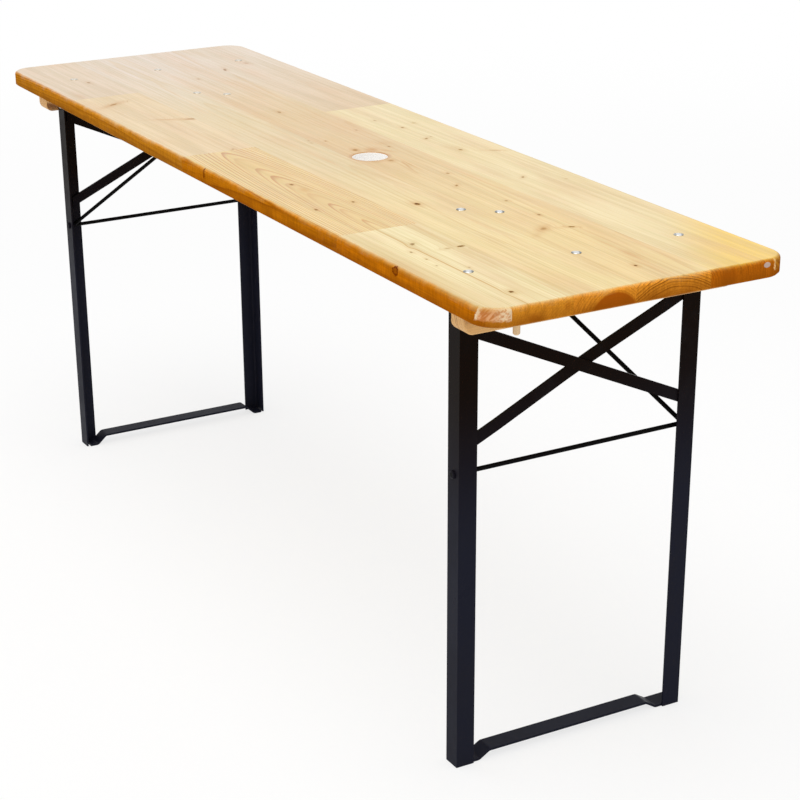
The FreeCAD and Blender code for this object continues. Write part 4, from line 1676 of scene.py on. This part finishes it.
@dataclass
class Studio:
    """White floor and world, one soft lamp and the camera.

    The floor keeps a share of the shadow near the object and fades to white over the shadow's reach.
    """

    frame_pixels: float = 800.0
    focal_pixels: float = 2039.68
    axis_pixel: Pair = (372.44, 500.87)
    camera_place: Triple = (3.01583, -1.57201, 1.57865)
    camera_forward: Triple = (-0.80559, 0.43921, -0.39765)
    camera_right: Triple = (0.48242, 0.87588, -0.00989)
    camera_reach: float = 200.0
    sensor: float = 36.0
    floor_half: float = 20.0
    floor_drop: float = 0.5 * MM
    floor_colour: Colour = (0.95, 0.95, 0.95)
    shadow_share: float = 0.25
    shadow_reach: Pair = (1.2, 5.0)
    world_light: float = 0.74
    lamp_place: Triple = (0.5, -0.8, 5.0)
    lamp_size: float = 4.0
    lamp_watts: float = 98.0

    def build(self) -> None:
        """Builds the floor, the lights and the camera."""
        bpy.context.scene.view_settings.view_transform = "Standard"
        self.add_floor()
        self.add_world()
        self.add_lamp()
        self.add_camera()

    @staticmethod
    def seen(graph: Graph) -> Socket:
        """Whether a ray shows the surface itself, straight on, in a reflection or through glass.

        Args:
            graph: The floor's or the world's graph.

        Returns:
            The socket, 1 where it does.
        """
        path = graph.add("ShaderNodeLightPath").outputs
        direct = graph.larger(path["Is Camera Ray"], path["Is Glossy Ray"])
        return graph.larger(direct, path["Is Transmission Ray"])

    def add_floor(self) -> None:
        """White floor that keeps a pale shadow of the object."""
        mesh = bmesh.new()
        bmesh.ops.create_grid(mesh, x_segments=1, y_segments=1, size=self.floor_half)
        data = bpy.data.meshes.new("studio_floor")
        mesh.to_mesh(data)
        mesh.free()
        floor = bpy.data.objects.new("studio_floor", data)
        floor.location.z = -self.floor_drop
        bpy.context.scene.collection.objects.link(floor)
        material = bpy.data.materials.new("studio_white")
        material.use_nodes = True
        material.node_tree.nodes.clear()
        graph = Graph(material.node_tree)
        lit = graph.add("ShaderNodeBsdfDiffuse", {"Color": self.floor_colour})
        bright = graph.add("ShaderNodeEmission", {"Color": WHITE, "Strength": 1.0})
        x, y, _ = graph.split(graph.place())
        white = graph.smooth(graph.reach(x, y), Step(*self.shadow_reach, 1.0 - self.shadow_share, 1.0))
        share = graph.times(self.seen(graph), white)
        surface = graph.add("ShaderNodeMixShader", {0: share, 1: lit.outputs[0], 2: bright.outputs[0]})
        graph.add("ShaderNodeOutputMaterial", {"Surface": surface.outputs[0]})
        data.materials.append(material)

    def add_world(self) -> None:
        """White world, a little weaker as a light than as a background."""
        world = bpy.data.worlds.new("studio_world")
        world.use_nodes = True
        world.node_tree.nodes.clear()
        graph = Graph(world.node_tree)
        strength = graph.smooth(self.seen(graph), Step(0.0, 1.0, self.world_light, 1.0))
        light = graph.add("ShaderNodeBackground", {"Color": WHITE, "Strength": strength})
        graph.add("ShaderNodeOutputWorld", {"Surface": light.outputs[0]})
        bpy.context.scene.world = world

    def add_lamp(self) -> None:
        """One large soft lamp above the camera's side."""
        data = bpy.data.lights.new("soft_lamp", "AREA")
        data.shape = "DISK"
        data.size = self.lamp_size
        data.energy = self.lamp_watts
        lamp = bpy.data.objects.new("soft_lamp", data)
        lamp.location = self.lamp_place
        aim = Vector((0.0, 0.0, PEAK)) - lamp.location
        lamp.rotation_euler = aim.to_track_quat("-Z", "Y").to_euler()
        bpy.context.scene.collection.objects.link(lamp)

    def add_camera(self) -> None:
        """Camera at the photograph's place."""
        data = bpy.data.cameras.new("photo_camera")
        data.sensor_width = self.sensor
        data.lens = self.sensor * self.focal_pixels / self.frame_pixels
        data.shift_x = 0.5 - self.axis_pixel[0] / self.frame_pixels
        data.shift_y = self.axis_pixel[1] / self.frame_pixels - 0.5
        data.clip_end = self.camera_reach
        camera = bpy.data.objects.new("photo_camera", data)
        forward = Vector(self.camera_forward).normalized()
        right = Vector(self.camera_right)
        right = (right - forward * right.dot(forward)).normalized()
        turn = Matrix((right, right.cross(forward), -forward)).transposed()
        camera.matrix_world = Matrix.Translation(self.camera_place) @ turn.to_4x4()
        bpy.context.scene.collection.objects.link(camera)
        bpy.context.scene.camera = camera


def main() -> None:
    """Builds the finishes, dresses each sub-assembly in order and sets the studio."""
    logging.basicConfig(level=logging.INFO, format="%(message)s")
    effects = SharedEffects()
    # Both blacks carry a painted reflection: warmer high up, cooler and bluer low down.
    paint = PaintFinish(
        "black_paint_on_steel", high=(0.0058, 0.0018, 0.0002), low=(0.0120, 0.0130, 0.0235),
        dust=(0.017, 0.016, 0.018), specular=0.035,
    ).make(effects)
    rod_paint = PaintFinish(
        "deep_black_on_rods", high=(0.0030, 0.0022, 0.0016), low=(0.0030, 0.0030, 0.0038),
        dust=(0.007, 0.007, 0.008), specular=0.03,
    ).make(effects)
    zinc = SteelFinish("zinc_plate", (0.78, 0.79, 0.80), (0.58, 0.57, 0.52), 0.2, 0.38).make(effects)
    spring = SteelFinish("spring_steel", (0.42, 0.43, 0.46), (0.26, 0.26, 0.28), 0.25, 0.45).make(effects)
    TableTop().build(effects)
    Underframe().build(effects)
    Fasteners(zinc).build()
    for end in End:
        LegFrame(end).build(paint)
        Brace(end).build(paint, rod_paint)
        Catch(end).build(paint, zinc, spring)
    Studio().build()


if __name__ == "__main__":
    main()
